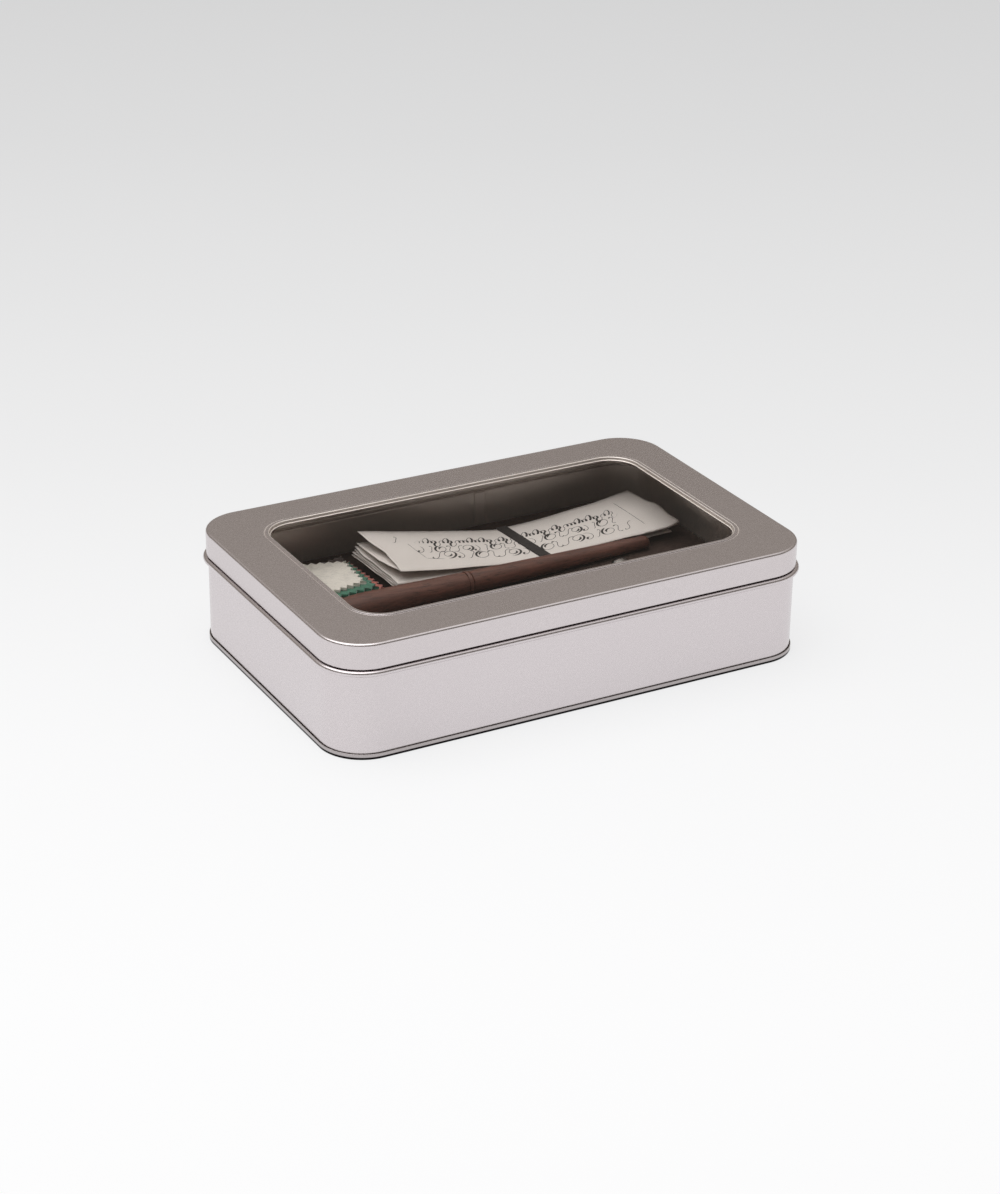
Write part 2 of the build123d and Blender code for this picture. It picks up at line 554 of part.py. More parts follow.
def nodes():
    """Every sub-part by name."""
    parts = {
        "body_wall": body_wall(), "base_plate": base_plate(),
        "riser_wall": riser_wall(), "riser_top": riser_top(),
        "lid_shell": lid_shell(), "window_pane": window_pane(), "pane_adhesive": pane_adhesive(),
        "sheaf_band": sheaf_band(),
        "penholder_shaft": penholder_shaft(), "ferrule": ferrule(), "ferrule_prongs": ferrule_prongs(),
        "nib": nib(), "spare_nib": spare_nib(),
        "wiper_thread": wiper_thread(),
        "ink_bottle": ink_bottle(), "ink": ink(), "bottle_label": bottle_label(),
        "cap_liner": cap_liner(), "bottle_cap": bottle_cap(),
    }
    for number in range(SHEET_COUNT):
        parts[f"copy_sheet_{SHEET_COUNT - number}"] = copy_sheet(number)
    for name in WIPER_PATCHES:
        parts[name] = felt_patch(name)
    return parts


os.makedirs("parts", exist_ok=True)
for node, shape in nodes().items():
    export_step(shape, f"parts/{node}.step")
print("pen tilt", round(degrees(pen_tilt()), 3), "pen origin", pen_plane().origin, "along", pen_plane().x_dir)
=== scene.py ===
"""Calligraphy set in a slip-lid window tin, in its finishes, and the studio round it.

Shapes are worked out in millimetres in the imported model's frame, and go into the scene in metres.
"""
from math import cos, pi, radians, sin
import bpy
import numpy as np
from mathutils import Matrix, Vector


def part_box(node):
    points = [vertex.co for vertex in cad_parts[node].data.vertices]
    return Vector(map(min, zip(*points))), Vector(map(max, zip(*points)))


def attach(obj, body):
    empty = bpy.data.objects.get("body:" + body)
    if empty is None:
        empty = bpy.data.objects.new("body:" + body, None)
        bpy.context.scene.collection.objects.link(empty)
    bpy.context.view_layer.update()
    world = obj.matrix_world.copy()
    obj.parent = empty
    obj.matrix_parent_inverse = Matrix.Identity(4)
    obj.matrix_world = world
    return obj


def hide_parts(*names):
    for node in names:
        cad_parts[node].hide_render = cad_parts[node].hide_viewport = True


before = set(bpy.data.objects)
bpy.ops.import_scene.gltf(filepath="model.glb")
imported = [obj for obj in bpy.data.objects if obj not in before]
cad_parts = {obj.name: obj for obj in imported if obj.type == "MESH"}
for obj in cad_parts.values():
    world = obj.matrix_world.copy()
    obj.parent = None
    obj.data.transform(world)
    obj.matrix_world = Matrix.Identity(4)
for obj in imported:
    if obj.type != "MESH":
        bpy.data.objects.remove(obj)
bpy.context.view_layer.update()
MM = 0.001


def node_box(name):
    """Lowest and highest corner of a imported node, in millimetres."""
    low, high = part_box(name)
    return np.array(low) / MM, np.array(high) / MM


# ---- sizes of the tin ----
LID_LOW, LID_HIGH = node_box("lid_shell")
CORNER = 17.5             # lid skirt's outside corner
SHEET = 0.3               # tinplate
PANEL_TOP = 45.8
PANEL_UNDER = 44.7
LID_EDGE = LID_LOW[2]
LID_EDGE_ROUND = 0.95
LID_HEM = 0.35
LID_HEM_HEIGHT = 1.8
WALL = -0.73              # wall's outside from the lid's outside, outwards
NECK_STEP = 0.27
BEAD_OUT = 2.0
BEAD_TOP = 35.45
BEAD_HEIGHT = 2.2
CURL_RADIUS = 0.55
NECK_TOP = node_box("body_wall")[1][2]
SEAM_HEIGHT = 2.25
SEAM_OUT = 0.55
HOOK_HEIGHT = 1.6
FOLD_PLAY = 0.03          # between folded layers
BASE_TOP = node_box("base_plate")[1][2]
BASE_RECESS = BASE_TOP - SHEET
LOCK_SEAM_X = 25.4        # where the wall's ends are folded together, at the back
LOCK_SEAM_WIDTH = 5.0
LOCK_SEAM_THICKNESS = 0.35
LOCK_LINE_DEPTH = 0.12    # fine groove that the fold leaves on the outside
WINDOW_HALF = np.array((80.8, 45.7))
WINDOW_MIDDLE = np.array((1.2, 1.25))   # the opening sits a little off the centre
WINDOW_CORNER = 12.0
RIM_WIDTH = 1.7
RIM_RISE = 0.26           # above the panel
LID_CENTRES = LID_HIGH[:2] - CORNER
WINDOW_CENTRES = WINDOW_HALF - WINDOW_CORNER

# ---- sizes of the sheaf ----
LIE = 19.3                # underside of what lies on the raised floor
BAND_X = 27.0             # ribbon's middle, where the sheaf is pinched
PINCH = 4.8               # the sheets are flat this far each side of it
BAND_WIDTH = 4.8
BAND_SKEW = -0.075        # it lies a little aslant: x for each y
RIB_PITCH = 0.55          # ribs of the ribbon
PLY = 0.12                # one thickness of paper
PLY_LEVEL = 19.85         # lowest ply, under the ribbon
SHEET_PITCH = 0.97
PLY_PITCH = 0.5
PEN_FINE = 0.13           # half width of a practice stroke, and what the slant adds
PEN_BROAD = 0.33
RULED = 0.1               # half width of a ruled line

# ---- sizes of the penholder and nibs ----
PEN_YAW = 3.8
PEN_TILT = 1.27
PEN_START = np.array((-68.0, 3.383, 25.062))          # middle of the grip's end
PEN_LENGTH = 143.0
GRIP_RADIUS = 5.45
GRIP_END_RADIUS = 4.7
GRIP_AT = 14.0
TAIL_RADIUS = 2.65
RING_AT = 57.3
RING_WIDTH = 1.2
RING_RISE = 0.2
GROOVE_WIDTH = 0.6
GROOVE_DEPTH = 0.7
FERRULE_RADIUS = 3.85
FERRULE_WALL = 0.3
FERRULE_LENGTH = 14.0
FERRULE_LIP = 1.4
NIB_RADIUS = 3.43
NIB_LENGTH = 29.0
NIB_HEEL = 13.0
NIB_STOCK = 0.25
NIB_INSERTED = 9.0
NIB_HOLE = 0.7
NIB_SLIT = 0.07
NIB_TIP = 0.25
LOOSE_NIB = np.array((57.2, 6.4, LIE))                # middle of its heel
LOOSE_NIB_HEIGHT = 0.42   # of the other nib's: it is a flatter one

# ---- sizes of the wiper ----
STITCH = np.array((-63.0, 34.0))
STITCH_SPACING = 5.0
FELT_THICKNESS = 1.4
FELT_PITCH = 1.45
TOOTH_PITCH = 3.3
TOOTH_DEPTH = 1.9
THREAD_RADIUS = 0.5

# ---- sizes of the ink bottle ----
BOTTLE = np.array((-48.0, -46.5, 2.6))
BOTTLE_RADIUS = 15.0
BOTTLE_WALL = 1.8
SHOULDER = 17.5
SHOULDER_ROUND = 3.0
LEDGE = SHOULDER + SHOULDER_ROUND
NECK_RADIUS = 7.2
NECK_WALL = 1.9
MOUTH = 29.4
THREAD_PITCH = 3.0
THREAD_RISE = 0.6
CAP_RADIUS = 9.5
CAP_WALL = 1.45
CAP_FOOT = LEDGE + 0.4
CAP_UNDER = MOUTH + 1.2
CAP_TOP = CAP_UNDER + 1.3
CAP_RIBS = 48
LABEL_BOTTOM = 3.4
LABEL_HEIGHT = 13.0
LABEL_ARC = 250.0

# ---- arithmetic of meshes ----


def grid_faces(rows, columns, round_rows=False, round_columns=False):
    """Quads between neighbouring points of a grid, closed round either way."""
    row, column = np.meshgrid(np.arange(rows if round_rows else rows - 1),
                              np.arange(columns if round_columns else columns - 1), indexing="ij")
    next_row, next_column = (row + 1) % rows, (column + 1) % columns
    quads = [row * columns + column, row * columns + next_column,
             next_row * columns + next_column, next_row * columns + column]
    return np.stack(quads, -1).reshape(-1, 4).tolist()


def volume(points, faces):
    """Signed volume inside a closed mesh: the sum over corner triangles of a . (b x c) / 6."""
    total = 0.0
    for size in {len(face) for face in faces}:
        group = points[np.array([face for face in faces if len(face) == size])]
        for k in range(1, size - 1):
            total += (group[:, 0] * np.cross(group[:, k], group[:, k + 1])).sum() / 6
    return total


def put(name, data):
    """New object in the scene."""
    thing = bpy.data.objects.new(name, data)
    bpy.context.scene.collection.objects.link(thing)
    return thing


def piece(name, solid, body, finish, nodes=(), sharp=35, outside=(0, 0, 0)):
    """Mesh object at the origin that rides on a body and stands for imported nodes.

    The faces of a closed mesh are turned so that its volume is positive, and those of an open one so that
    they face away from the point outside.
    """
    points, faces = solid
    points = np.asarray(points, float).reshape(-1, 3)
    if volume(points - outside, faces) < 0:
        faces = [face[::-1] for face in faces]
    mesh = bpy.data.meshes.new(name)
    mesh.from_pydata((points * MM).tolist(), [], faces)
    mesh.shade_smooth()
    mesh.set_sharp_from_angle(angle=radians(sharp))
    mesh.materials.append(finish)
    thing = put(name, mesh)
    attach(thing, body)
    if nodes:
        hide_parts(*nodes)
    return thing


def ringed(points):
    """Points and faces of a grid that is closed both ways."""
    return points, grid_faces(points.shape[0], points.shape[1], True, True)


def capped(points):
    """Points and faces of a grid closed round its columns, and over its first and last rows."""
    rows, columns = points.shape[:2]
    here = np.arange(columns)
    after = (here + 1) % columns
    pole = np.full(columns, rows * columns)
    last = (rows - 1) * columns
    ends = np.vstack([np.stack([pole, after, here], 1), np.stack([pole + 1, last + here, last + after], 1)])
    flat = np.vstack([points.reshape(-1, 3), points[0].mean(0), points[-1].mean(0)])
    return flat, grid_faces(rows, columns, False, True) + ends.tolist()


def together(*solids):
    """Several (points, faces) as one."""
    points, faces, count = [], [], 0
    for some_points, some_faces in solids:
        flat = np.asarray(some_points).reshape(-1, 3)
        points.append(flat)
        faces += [[index + count for index in face] for face in some_faces]
        count += len(flat)
    return np.vstack(points), faces


def thicken(thing, thickness, offset=0.0):
    """Give a surface its thickness, in millimetres."""
    solid = thing.modifiers.new("thickness", "SOLIDIFY")
    solid.thickness = thickness * MM
    solid.offset = offset


def arc(x, y, radius, start, end, steps=8):
    """Points round an arc, between two angles in degrees."""
    angle = np.radians(np.linspace(start, end, steps + 1))
    return np.stack([x + radius * np.cos(angle), y + radius * np.sin(angle)], 1)


def smooth_noise(x, y, seed, size):
    """Soft waves from -1 to 1: six sines in seeded directions, of about one size."""
    random = np.random.default_rng(seed)
    angle, phase = random.uniform(0, 2 * pi, 6), random.uniform(0, 2 * pi, 6)
    stretch = random.uniform(0.6, 1.7, 6)
    across = np.multiply.outer(x, np.cos(angle)) + np.multiply.outer(y, np.sin(angle))
    return np.sin(across * stretch * 2 * pi / size + phase).sum(-1) / 4.5


# ---- swept sheet metal ----


def track(corner_steps=16, straight_steps=12, back_shares=()):
    """Stations round a rounded rectangle, as shares of the corner centres and outward normals.

    On an arc the share stays at the corner and the normal turns by 90 degrees; on a straight the
    normal stays and the share slides from 1 to -1. Each quarter is the one before, turned by 90 degrees.
    """
    slide = np.linspace(1, -1, straight_steps + 1)[1:-1]
    turn = np.linspace(0, pi / 2, corner_steps + 1)
    shares, normals = [], []
    for quarter in range(4):
        run = np.sort(np.append(slide, back_shares))[::-1] if quarter == 0 else slide
        spin = np.array(((cos(quarter * pi / 2), sin(quarter * pi / 2)),
                         (-sin(quarter * pi / 2), cos(quarter * pi / 2))))
        corner = np.ones((len(turn), 2))
        straight = np.stack([run, np.ones(len(run))], 1)
        shares.append(np.round(np.vstack([corner, straight]) @ spin, 9))
        facing = np.append(turn, np.full(len(run), pi / 2))
        normals.append(np.stack([np.cos(facing), np.sin(facing)], 1) @ spin)
    return np.vstack(shares), np.vstack(normals)


def swept(stations, section, swell=0.0):
    """Carry a section round the tin. A section's row is (blend, offset, height).

    Point = share x corner centres + (corner radius + offset + swell) x normal, with the centres and the
    radius blended from the lid's outline (0) to the window's (1).
    """
    shares, normals = stations
    blend, offset, height = (column[:, None] for column in np.asarray(section, float).T)
    radius = (1 - blend) * CORNER + blend * WINDOW_CORNER + offset + swell
    x, y = (((1 - blend) * LID_CENTRES[k] + blend * WINDOW_CENTRES[k]) * shares[:, k]
            + normals[:, k] * radius + blend * WINDOW_MIDDLE[k] for k in (0, 1))
    return np.stack([x, y, np.broadcast_to(height, x.shape)], -1)


def rows(blend, *parts):
    """Rows of a section from runs of (offset, height), with a row near both ends of each long straight."""
    shortest, close = 0.6, 0.12
    run = np.vstack([np.asarray(part, float).reshape(-1, 2) for part in parts])
    step = np.diff(run, axis=0)
    length = np.hypot(*step.T)
    long = np.flatnonzero(length > shortest)
    near = close / length[long, None]
    extra = np.stack([run[long] + step[long] * near, run[long + 1] - step[long] * near], 1).reshape(-1, 2)
    run = np.insert(run, np.repeat(long + 1, 2), extra, axis=0)
    return np.column_stack([np.full(len(run), blend), run])


def lid_section():
    """Closed section of the lid: hem, skirt, rounded edge, panel, rolled rim, and back along the inside."""
    hem = SHEET + LID_HEM
    foot = hem / 2
    round_height = PANEL_TOP - LID_EDGE_ROUND
    skirt = rows(0, [(-hem, LID_EDGE + LID_HEM_HEIGHT)],
                 arc(-foot, LID_EDGE + foot, foot, 180, 360, 10),
                 arc(-LID_EDGE_ROUND, round_height, LID_EDGE_ROUND, 0, 90, 12))
    top = PANEL_TOP + RIM_RISE
    shoulder, outer, ledge = 0.42, 0.2, 0.38
    spread = np.array((0.006, 0.03, 0.25, 0.5, 0.75, 0.97, 0.994))
    start, end = -LID_EDGE_ROUND, RIM_WIDTH + 0.5
    panel = np.column_stack([spread, start + (end - start) * spread, np.full(len(spread), PANEL_TOP)])
    rim = rows(1, arc(RIM_WIDTH + 0.3, PANEL_TOP - 0.1, 0.1, 90, 150, 2),
               [(RIM_WIDTH + 0.1, PANEL_TOP - 0.16), (RIM_WIDTH - 0.02, PANEL_TOP - 0.1)],
               arc(RIM_WIDTH - 0.12 - outer, top - outer, outer, 10, 90, 5),
               arc(shoulder, top - shoulder, shoulder, 90, 180, 8),
               arc(-ledge, PANEL_UNDER + 0.04 + ledge, ledge, 0, -84, 8),
               [(-ledge - 0.06, PANEL_UNDER)])
    inside = rows(0, [(-LID_EDGE_ROUND - 1, PANEL_UNDER)],
                  arc(-LID_EDGE_ROUND, PANEL_UNDER - LID_EDGE_ROUND + SHEET,
                      LID_EDGE_ROUND - SHEET, 90, 0, 8),
                  [(-SHEET, LID_EDGE + LID_HEM_HEIGHT + 0.1)])
    return np.vstack([skirt, panel, rim, inside])


def wall_section():
    """Closed section of the wall, and a mark for the rows on its inside.

    Outside: folded hook, straight wall, stop bead, neck, rolled edge; then down the inside.
    """
    foot, hook = SHEET + FOLD_PLAY, SEAM_OUT - SHEET - FOLD_PLAY
    crease, cove = 0.12, 0.37
    bead = BEAD_HEIGHT / 2
    bead_middle, bead_foot, bead_run = BEAD_TOP - bead, BEAD_TOP - BEAD_HEIGHT, BEAD_OUT - bead
    curl_x, curl_z = -NECK_STEP - CURL_RADIUS, NECK_TOP - CURL_RADIUS
    neck_inside = -NECK_STEP - SHEET
    outside = [[(-SHEET, foot), (hook, foot), (hook, foot + HOOK_HEIGHT), (0, foot + HOOK_HEIGHT)],
               arc(crease, bead_foot - crease, crease, 180, 90, 3),
               arc(bead_run, bead_middle, bead, -90, 90, 14),
               arc(0.1, BEAD_TOP + cove, cove, 270, 180, 4),
               arc(curl_x, curl_z, CURL_RADIUS, 0, 250, 18)]
    inside = [[(neck_inside, curl_z - 1.0), (neck_inside, BEAD_TOP), (neck_inside + 0.3, BEAD_TOP - SHEET)],
              arc(bead_run, bead_middle, bead - SHEET, 90, -90, 10),
              [(-SHEET + 0.25, bead_foot + SHEET), (-SHEET, bead_foot + SHEET - 0.3),
               (-SHEET, bead_foot - 1.2), (-SHEET, BASE_TOP + 0.6)]]
    section = rows(0, *outside, *inside)
    below = section[:, 2] < bead_foot + SHEET - 0.2
    section[:, 1] += WALL
    return section, below & (section[:, 1] < WALL - SHEET / 2)


def lock_seam_swell(stations, inner):
    """How far the wall's faces move outwards near the lock seam: a fold inside, a fine groove outside."""
    shares, normals = stations
    across = shares[:, 0] * LID_CENTRES[0] - LOCK_SEAM_X
    back = normals[:, 1] > 0.999
    half, slope, line_width = LOCK_SEAM_WIDTH / 2, 0.3, 0.22
    fold = np.clip((half + slope / 2 - np.abs(across)) / slope, 0, 1) * back
    line = np.exp(-((across + half) / line_width) ** 2) * back
    return np.where(inner[:, None], -LOCK_SEAM_THICKNESS * fold, -LOCK_LINE_DEPTH * line)


def base_section():
    """Section of the bottom from its underside out, over the folded seam and in again to its top."""
    out = WALL + SEAM_OUT
    lip_inside, rise_outside = out - SHEET, WALL - SHEET - FOLD_PLAY
    rise_inside = rise_outside - SHEET
    turn, bend = 0.3, 0.25
    return rows(0, [(-CORNER + 2, BASE_RECESS), (-8, BASE_RECESS), (rise_inside - bend, BASE_RECESS)],
                [(rise_inside, BASE_RECESS - bend)],
                arc(rise_inside + turn, turn, turn, 180, 270, 5),
                arc(out - turn, turn, turn, 270, 360, 5),
                arc(out - turn / 2, SEAM_HEIGHT - turn / 2, turn / 2, 0, 180, 8),
                [(lip_inside, SHEET + 0.02), (rise_outside, SHEET + 0.02)],
                arc(rise_outside - bend, BASE_TOP - bend, bend, 0, 90, 4),
                [(-8, BASE_TOP), (-CORNER + 2, BASE_TOP)])


# ---- finishes ----


def add_node(tree, kind, inputs=(), **settings):
    """A shader node, its settings, and its inputs by name or number: values, or sockets to join."""
    node = tree.nodes.new("ShaderNode" + kind)
    for setting, value in settings.items():
        setattr(node, setting, value)
    for key, value in dict(inputs).items():
        if isinstance(value, bpy.types.NodeSocket):
            tree.links.new(value, node.inputs[key])
        else:
            node.inputs[key].default_value = value
    return node


def add_ramp(tree, value, stops):
    """Colours or greys along a value."""
    node = add_node(tree, "ValToRGB", {0: value})
    elements = node.color_ramp.elements
    while len(elements) < len(stops):
        elements.new(0.5)
    for element, (position, colour) in zip(elements, stops):
        element.position = position
        element.color = (*colour, 1) if isinstance(colour, tuple) else (colour, colour, colour, 1)
    return node.outputs[0]


def add_dot(tree, first, second):
    """Dot product of two vectors."""
    return add_node(tree, "VectorMath", {0: first, 1: second}, operation="DOT_PRODUCT").outputs["Value"]


def dim(colour, share):
    """A colour made darker, or lighter."""
    return tuple(share * part for part in colour)


class Finish:
    """A material with a Principled shader, whose other nodes are added one at a time."""

    def __init__(self, name, **sockets):
        self.material = bpy.data.materials.new(name)
        self.material.use_nodes = True
        self.tree = self.material.node_tree
        self.shader = self.tree.nodes["Principled BSDF"]
        for socket, value in sockets.items():
            self.shader.inputs[socket.replace("_", " ")].default_value = value
        self.place = self.add("TexCoord").outputs["Object"]

    def add(self, kind, inputs=(), **settings):
        """A node of this material."""
        return add_node(self.tree, kind, inputs, **settings)

    def mapped(self, scale, turn=(0, 0, 0)):
        """Coordinates turned and stretched."""
        return self.add("Mapping", {"Vector": self.place, "Rotation": turn, "Scale": scale}).outputs[0]

    def noise(self, scale, detail=3.0, roughness=0.5, turn=(0, 0, 0)):
        """Noise from 0 to 1; scale is in repeats a metre, all ways or for each axis once turned."""
        place = self.place
        if isinstance(scale, tuple):
            place, scale = self.mapped(scale, turn), 1
        inputs = {"Vector": place, "Scale": scale, "Detail": detail, "Roughness": roughness}
        return self.add("TexNoise", inputs).outputs[0]

    def ramp(self, value, *stops):
        """Colours or greys along a value."""
        return add_ramp(self.tree, value, stops)

    def mix(self, factor, first, second):
        """Two colours mixed."""
        inputs = {0: factor, 6: first, 7: second}
        inputs = {key: (*value, 1) if isinstance(value, tuple) else value for key, value in inputs.items()}
        return self.add("Mix", inputs, data_type="RGBA").outputs[2]

    def laid(self, colour, tint, value, *stops):
        """A colour with a tint laid over it, by shares along a value."""
        return self.mix(self.ramp(value, *stops), colour, tint)

    def math(self, operation, *values):
        """Arithmetic on one, two or three values."""
        return self.add("Math", dict(enumerate(values)), operation=operation).outputs[0]

    def weighed(self, first, share, second, other_share):
        """Two values, each times its share, added."""
        parts = self.math("MULTIPLY", first, share), self.math("MULTIPLY", second, other_share)
        return self.math("ADD", *parts)

    def blend(self, share, first, second):
        """Two shaders mixed."""
        return self.add("MixShader", {0: share, 1: first, 2: second}).outputs[0]

    def join(self, socket, name):
        """Drive one of the shader's sockets."""
        self.tree.links.new(socket, self.shader.inputs[name])

    def colour(self, value, *stops):
        """Colour the surface along a value."""
        self.join(self.ramp(value, *stops), "Base Color")

    def rough(self, value, *stops):
        """Roughness along a value."""
        self.join(self.ramp(value, *stops), "Roughness")

    def bump(self, height, distance, strength):
        """Raise the surface by a height from 0 to 1 times a distance (mm), and give the material."""
        inputs = {"Height": height, "Distance": distance * MM, "Strength": strength}
        self.join(self.add("Bump", inputs).outputs[0], "Normal")
        return self.material

    def show(self, shader):
        """Make a shader the surface, and give the material."""
        self.tree.links.new(shader, self.tree.nodes["Material Output"].inputs["Surface"])
        return self.material


def tinplate(name, bright, foot):
    """Satin tinplate: a fine frosted grain, faint cloudy patches, and painted shade that makes it nearly
    black below a height (mm).

    Its inside, where the normal points to the tin's axis, is duller and paler than its outside.
    """
    finish = Finish(name, Metallic=1.0)
    grain = finish.noise(2300, 2.0, 0.8)
    shade = finish.ramp(grain, (0.32, dim(bright, 0.88)), (0.68, dim(bright, 1.08)))
    shade = finish.laid(shade, dim(bright, 0.94), finish.noise(700, 3.0, 0.6), (0.35, 0.0), (0.65, 0.5))
    shade = finish.laid(shade, dim(bright, 0.95), finish.noise(30, 2.0), (0.35, 0.0), (0.7, 0.3))
    # painted shade: below the given height the colour turns nearly black, standing in for the shadow where
    # the tin stands on the floor and in the crease above the seam
    height = finish.add("SeparateXYZ", {0: finish.place}).outputs[2]
    share = finish.math("DIVIDE", height, foot * MM)
    shade = finish.laid(shade, dim(bright, 0.015), share, (0.75, 1.0), (1.0, 0.0))
    flat = finish.add("VectorMath", {0: finish.place, 1: (1, 1.5, 0)}, operation="MULTIPLY").outputs[0]
    outward = add_dot(finish.tree, finish.add("TexCoord").outputs["Normal"], flat)
    inside = finish.add("MapRange", {0: outward, 1: -0.004, 2: -0.012, 3: 0.0, 4: 1.0}).outputs[0]
    finish.join(finish.mix(inside, shade, (0.90, 0.84, 0.80)), "Base Color")
    rough = finish.ramp(grain, (0.25, 0.20), (0.8, 0.33))
    finish.join(finish.mix(inside, rough, (0.5, 0.5, 0.5)), "Roughness")
    return finish.bump(grain, 0.016, 0.6)


def clear_film():
    """Thin clear film: only its outer faces shine, (facing^5) more where it is seen at a slant."""
    finish = Finish("clear_film", Metallic=1.0, Base_Color=(0.95, 0.96, 0.96, 1))
    facing = finish.add("LayerWeight", {"Blend": 0.5}).outputs["Facing"]
    share = finish.math("MULTIPLY_ADD", finish.math("POWER", facing, 5.0), 0.30, 0.010)
    outer = finish.math("SUBTRACT", 1.0, finish.add("NewGeometry").outputs["Backfacing"])
    through = finish.add("BsdfTransparent", {"Color": (0.97, 0.97, 0.965, 1)}).outputs[0]
    finish.rough(finish.noise(260), (0.4, 0.03), (0.75, 0.10))
    return finish.show(finish.blend(finish.math("MULTIPLY", share, outer), through, finish.shader.outputs[0]))


def brown_card():
    """Dark dyed card: short fibres and a slight mottle."""
    finish = Finish("brown_card", Roughness=0.92, Specular_IOR_Level=0.25)
    fibres = finish.noise((420, 1600, 900))
    colour = finish.ramp(fibres, (0.3, (0.040, 0.025, 0.020)), (0.75, (0.082, 0.053, 0.043)))
    colour = finish.laid(colour, (0.052, 0.034, 0.028), finish.noise(90), (0.4, 0.0), (0.7, 0.5))
    finish.join(colour, "Base Color")
    return finish.bump(fibres, 0.05, 0.6)


def paper(name, light):
    """Uncoated laid paper: warm white, soft flecks, fine tooth."""
    finish = Finish(name, Roughness=0.88, Specular_IOR_Level=0.2)
    colour = finish.ramp(finish.noise(60), (0.3, dim(light, 0.95)), (0.7, light))
    fleck = tuple(part * share for part, share in zip(light, (0.8, 0.74, 0.66)))
    colour = finish.laid(colour, fleck, finish.noise(700, 2.0), (0.66, 0.0), (0.74, 0.35))
    finish.join(colour, "Base Color")
    return finish.bump(finish.noise(1300, 4.0), 0.03, 0.5)


def writing_ink():
    """Dry writing ink: nearly black, browner where it is thin."""
    finish = Finish("writing_ink", Roughness=0.55)
    finish.colour(finish.noise(500, 2.0), (0.35, (0.016, 0.013, 0.012)), (0.75, (0.055, 0.043, 0.038)))
    return finish.material


def ribbon_cloth():
    """Dark grosgrain ribbon: ribs across it that repeat along its length, and fine threads."""
    finish = Finish("ribbon_cloth", Roughness=0.8, Sheen_Weight=0.12, Sheen_Roughness=0.4)
    parts = finish.add("SeparateXYZ", {0: finish.place}).outputs
    length = finish.math("ADD", parts[1], parts[2])
    ribs = finish.math("SINE", finish.math("MULTIPLY", length, 2 * pi / (RIB_PITCH * MM)))
    ribs = finish.math("ADD", finish.math("MULTIPLY", ribs, 0.3), 0.5)
    both = finish.weighed(ribs, 0.6, finish.noise((3200, 700, 700), 2.0), 0.4)
    finish.colour(both, (0.2, (0.008, 0.006, 0.0055)), (0.85, (0.034, 0.024, 0.021)))
    return finish.bump(both, 0.12, 0.8)


def felt(name, colour):
    """Wool felt: matted fibres in two sizes, a soft nap and specks of lighter wool."""
    finish = Finish(name, Roughness=0.95, Sheen_Weight=0.45, Sheen_Roughness=0.6, Specular_IOR_Level=0.1)
    fibres = finish.noise((900, 2300, 1500), 4.0, 0.65, (0, 0, 0.7))
    both = finish.weighed(finish.noise(300, 4.0, 0.65), 0.5, fibres, 0.5)
    light = tuple(min(1.0, 1.12 * part + 0.012) for part in colour)
    finish.colour(both, (0.3, dim(colour, 0.62)), (0.5, colour), (0.72, light))
    return finish.bump(both, 0.35, 0.8)


def pen_wood():
    """Stained beech: dark pores and streaks along the shaft, worn to a low shine."""
    finish = Finish("pen_wood", Coat_Weight=0.12, Coat_Roughness=0.35)
    turn = (0, 0, -radians(PEN_YAW))
    streaks = finish.noise((26, 620, 620), 4.0, 0.6, turn)
    pores = finish.noise((170, 2100, 2100), 2.0, 0.5, turn)
    stain = finish.ramp(streaks, (0.25, (0.066, 0.024, 0.016)), (0.5, (0.130, 0.048, 0.032)),
                        (0.78, (0.215, 0.085, 0.058)))
    stain = finish.laid(stain, (0.030, 0.014, 0.010), pores, (0.56, 0.0), (0.70, 0.75))
    stain = finish.laid(stain, (0.098, 0.044, 0.032), finish.noise(75), (0.35, 0.0), (0.7, 0.35))
    finish.join(stain, "Base Color")
    finish.rough(streaks, (0.3, 0.42), (0.7, 0.58))
    return finish.bump(finish.ramp(pores, (0.52, 1.0), (0.7, 0.0)), 0.06, 0.7)


def bright_steel(name, tint, roughness):
    """Polished steel with fine draw lines."""
    finish = Finish(name, Metallic=1.0)
    lines = finish.noise((120, 2600, 2600))
    finish.colour(lines, (0.3, dim(tint, 0.88)), (0.7, tint))
    finish.rough(lines, (0.3, roughness), (0.75, roughness + 0.12))
    return finish.bump(lines, 0.006, 0.5)


def bottle_glass():
    """Moulded soda glass with a faint wave in its surface."""
    finish = Finish("bottle_glass", Base_Color=(0.93, 0.96, 0.95, 1), Roughness=0.03, IOR=1.5,
                    Transmission_Weight=0.9)
    return finish.bump(finish.noise(110, 2.0), 0.25, 0.5)


def black_ink():
    """Ink: black with a blue cast, glossy at its level."""
    finish = Finish("black_ink", Roughness=0.05)
    finish.colour(finish.noise(60), (0.3, (0.004, 0.004, 0.008)), (0.7, (0.012, 0.012, 0.022)))
    return finish.material


def moulded_cap():
    """Black moulded cap: soft orange-peel surface, scuffed paler on the ribs' edges."""
    finish = Finish("moulded_cap")
    peel = finish.noise(900, 2.0)
    edges = finish.ramp(finish.add("NewGeometry").outputs["Pointiness"], (0.52, 0.0), (0.60, 1.0))
    scuffs = finish.math("MULTIPLY", edges, finish.ramp(finish.noise(700), (0.45, 0.0), (0.6, 0.6)))
    finish.join(finish.mix(scuffs, (0.016, 0.016, 0.017), (0.09, 0.088, 0.085)), "Base Color")
    finish.rough(peel, (0.3, 0.34), (0.7, 0.46))
    return finish.bump(peel, 0.02, 0.5)


def soft_matte(name, low, high, scale, distance, roughness):
    """Plain soft stuff with a fine cellular surface."""
    finish = Finish(name, Roughness=roughness)
    cells = finish.noise(scale)
    finish.colour(cells, (0.3, low), (0.7, high))
    return finish.bump(cells, distance, 0.6)


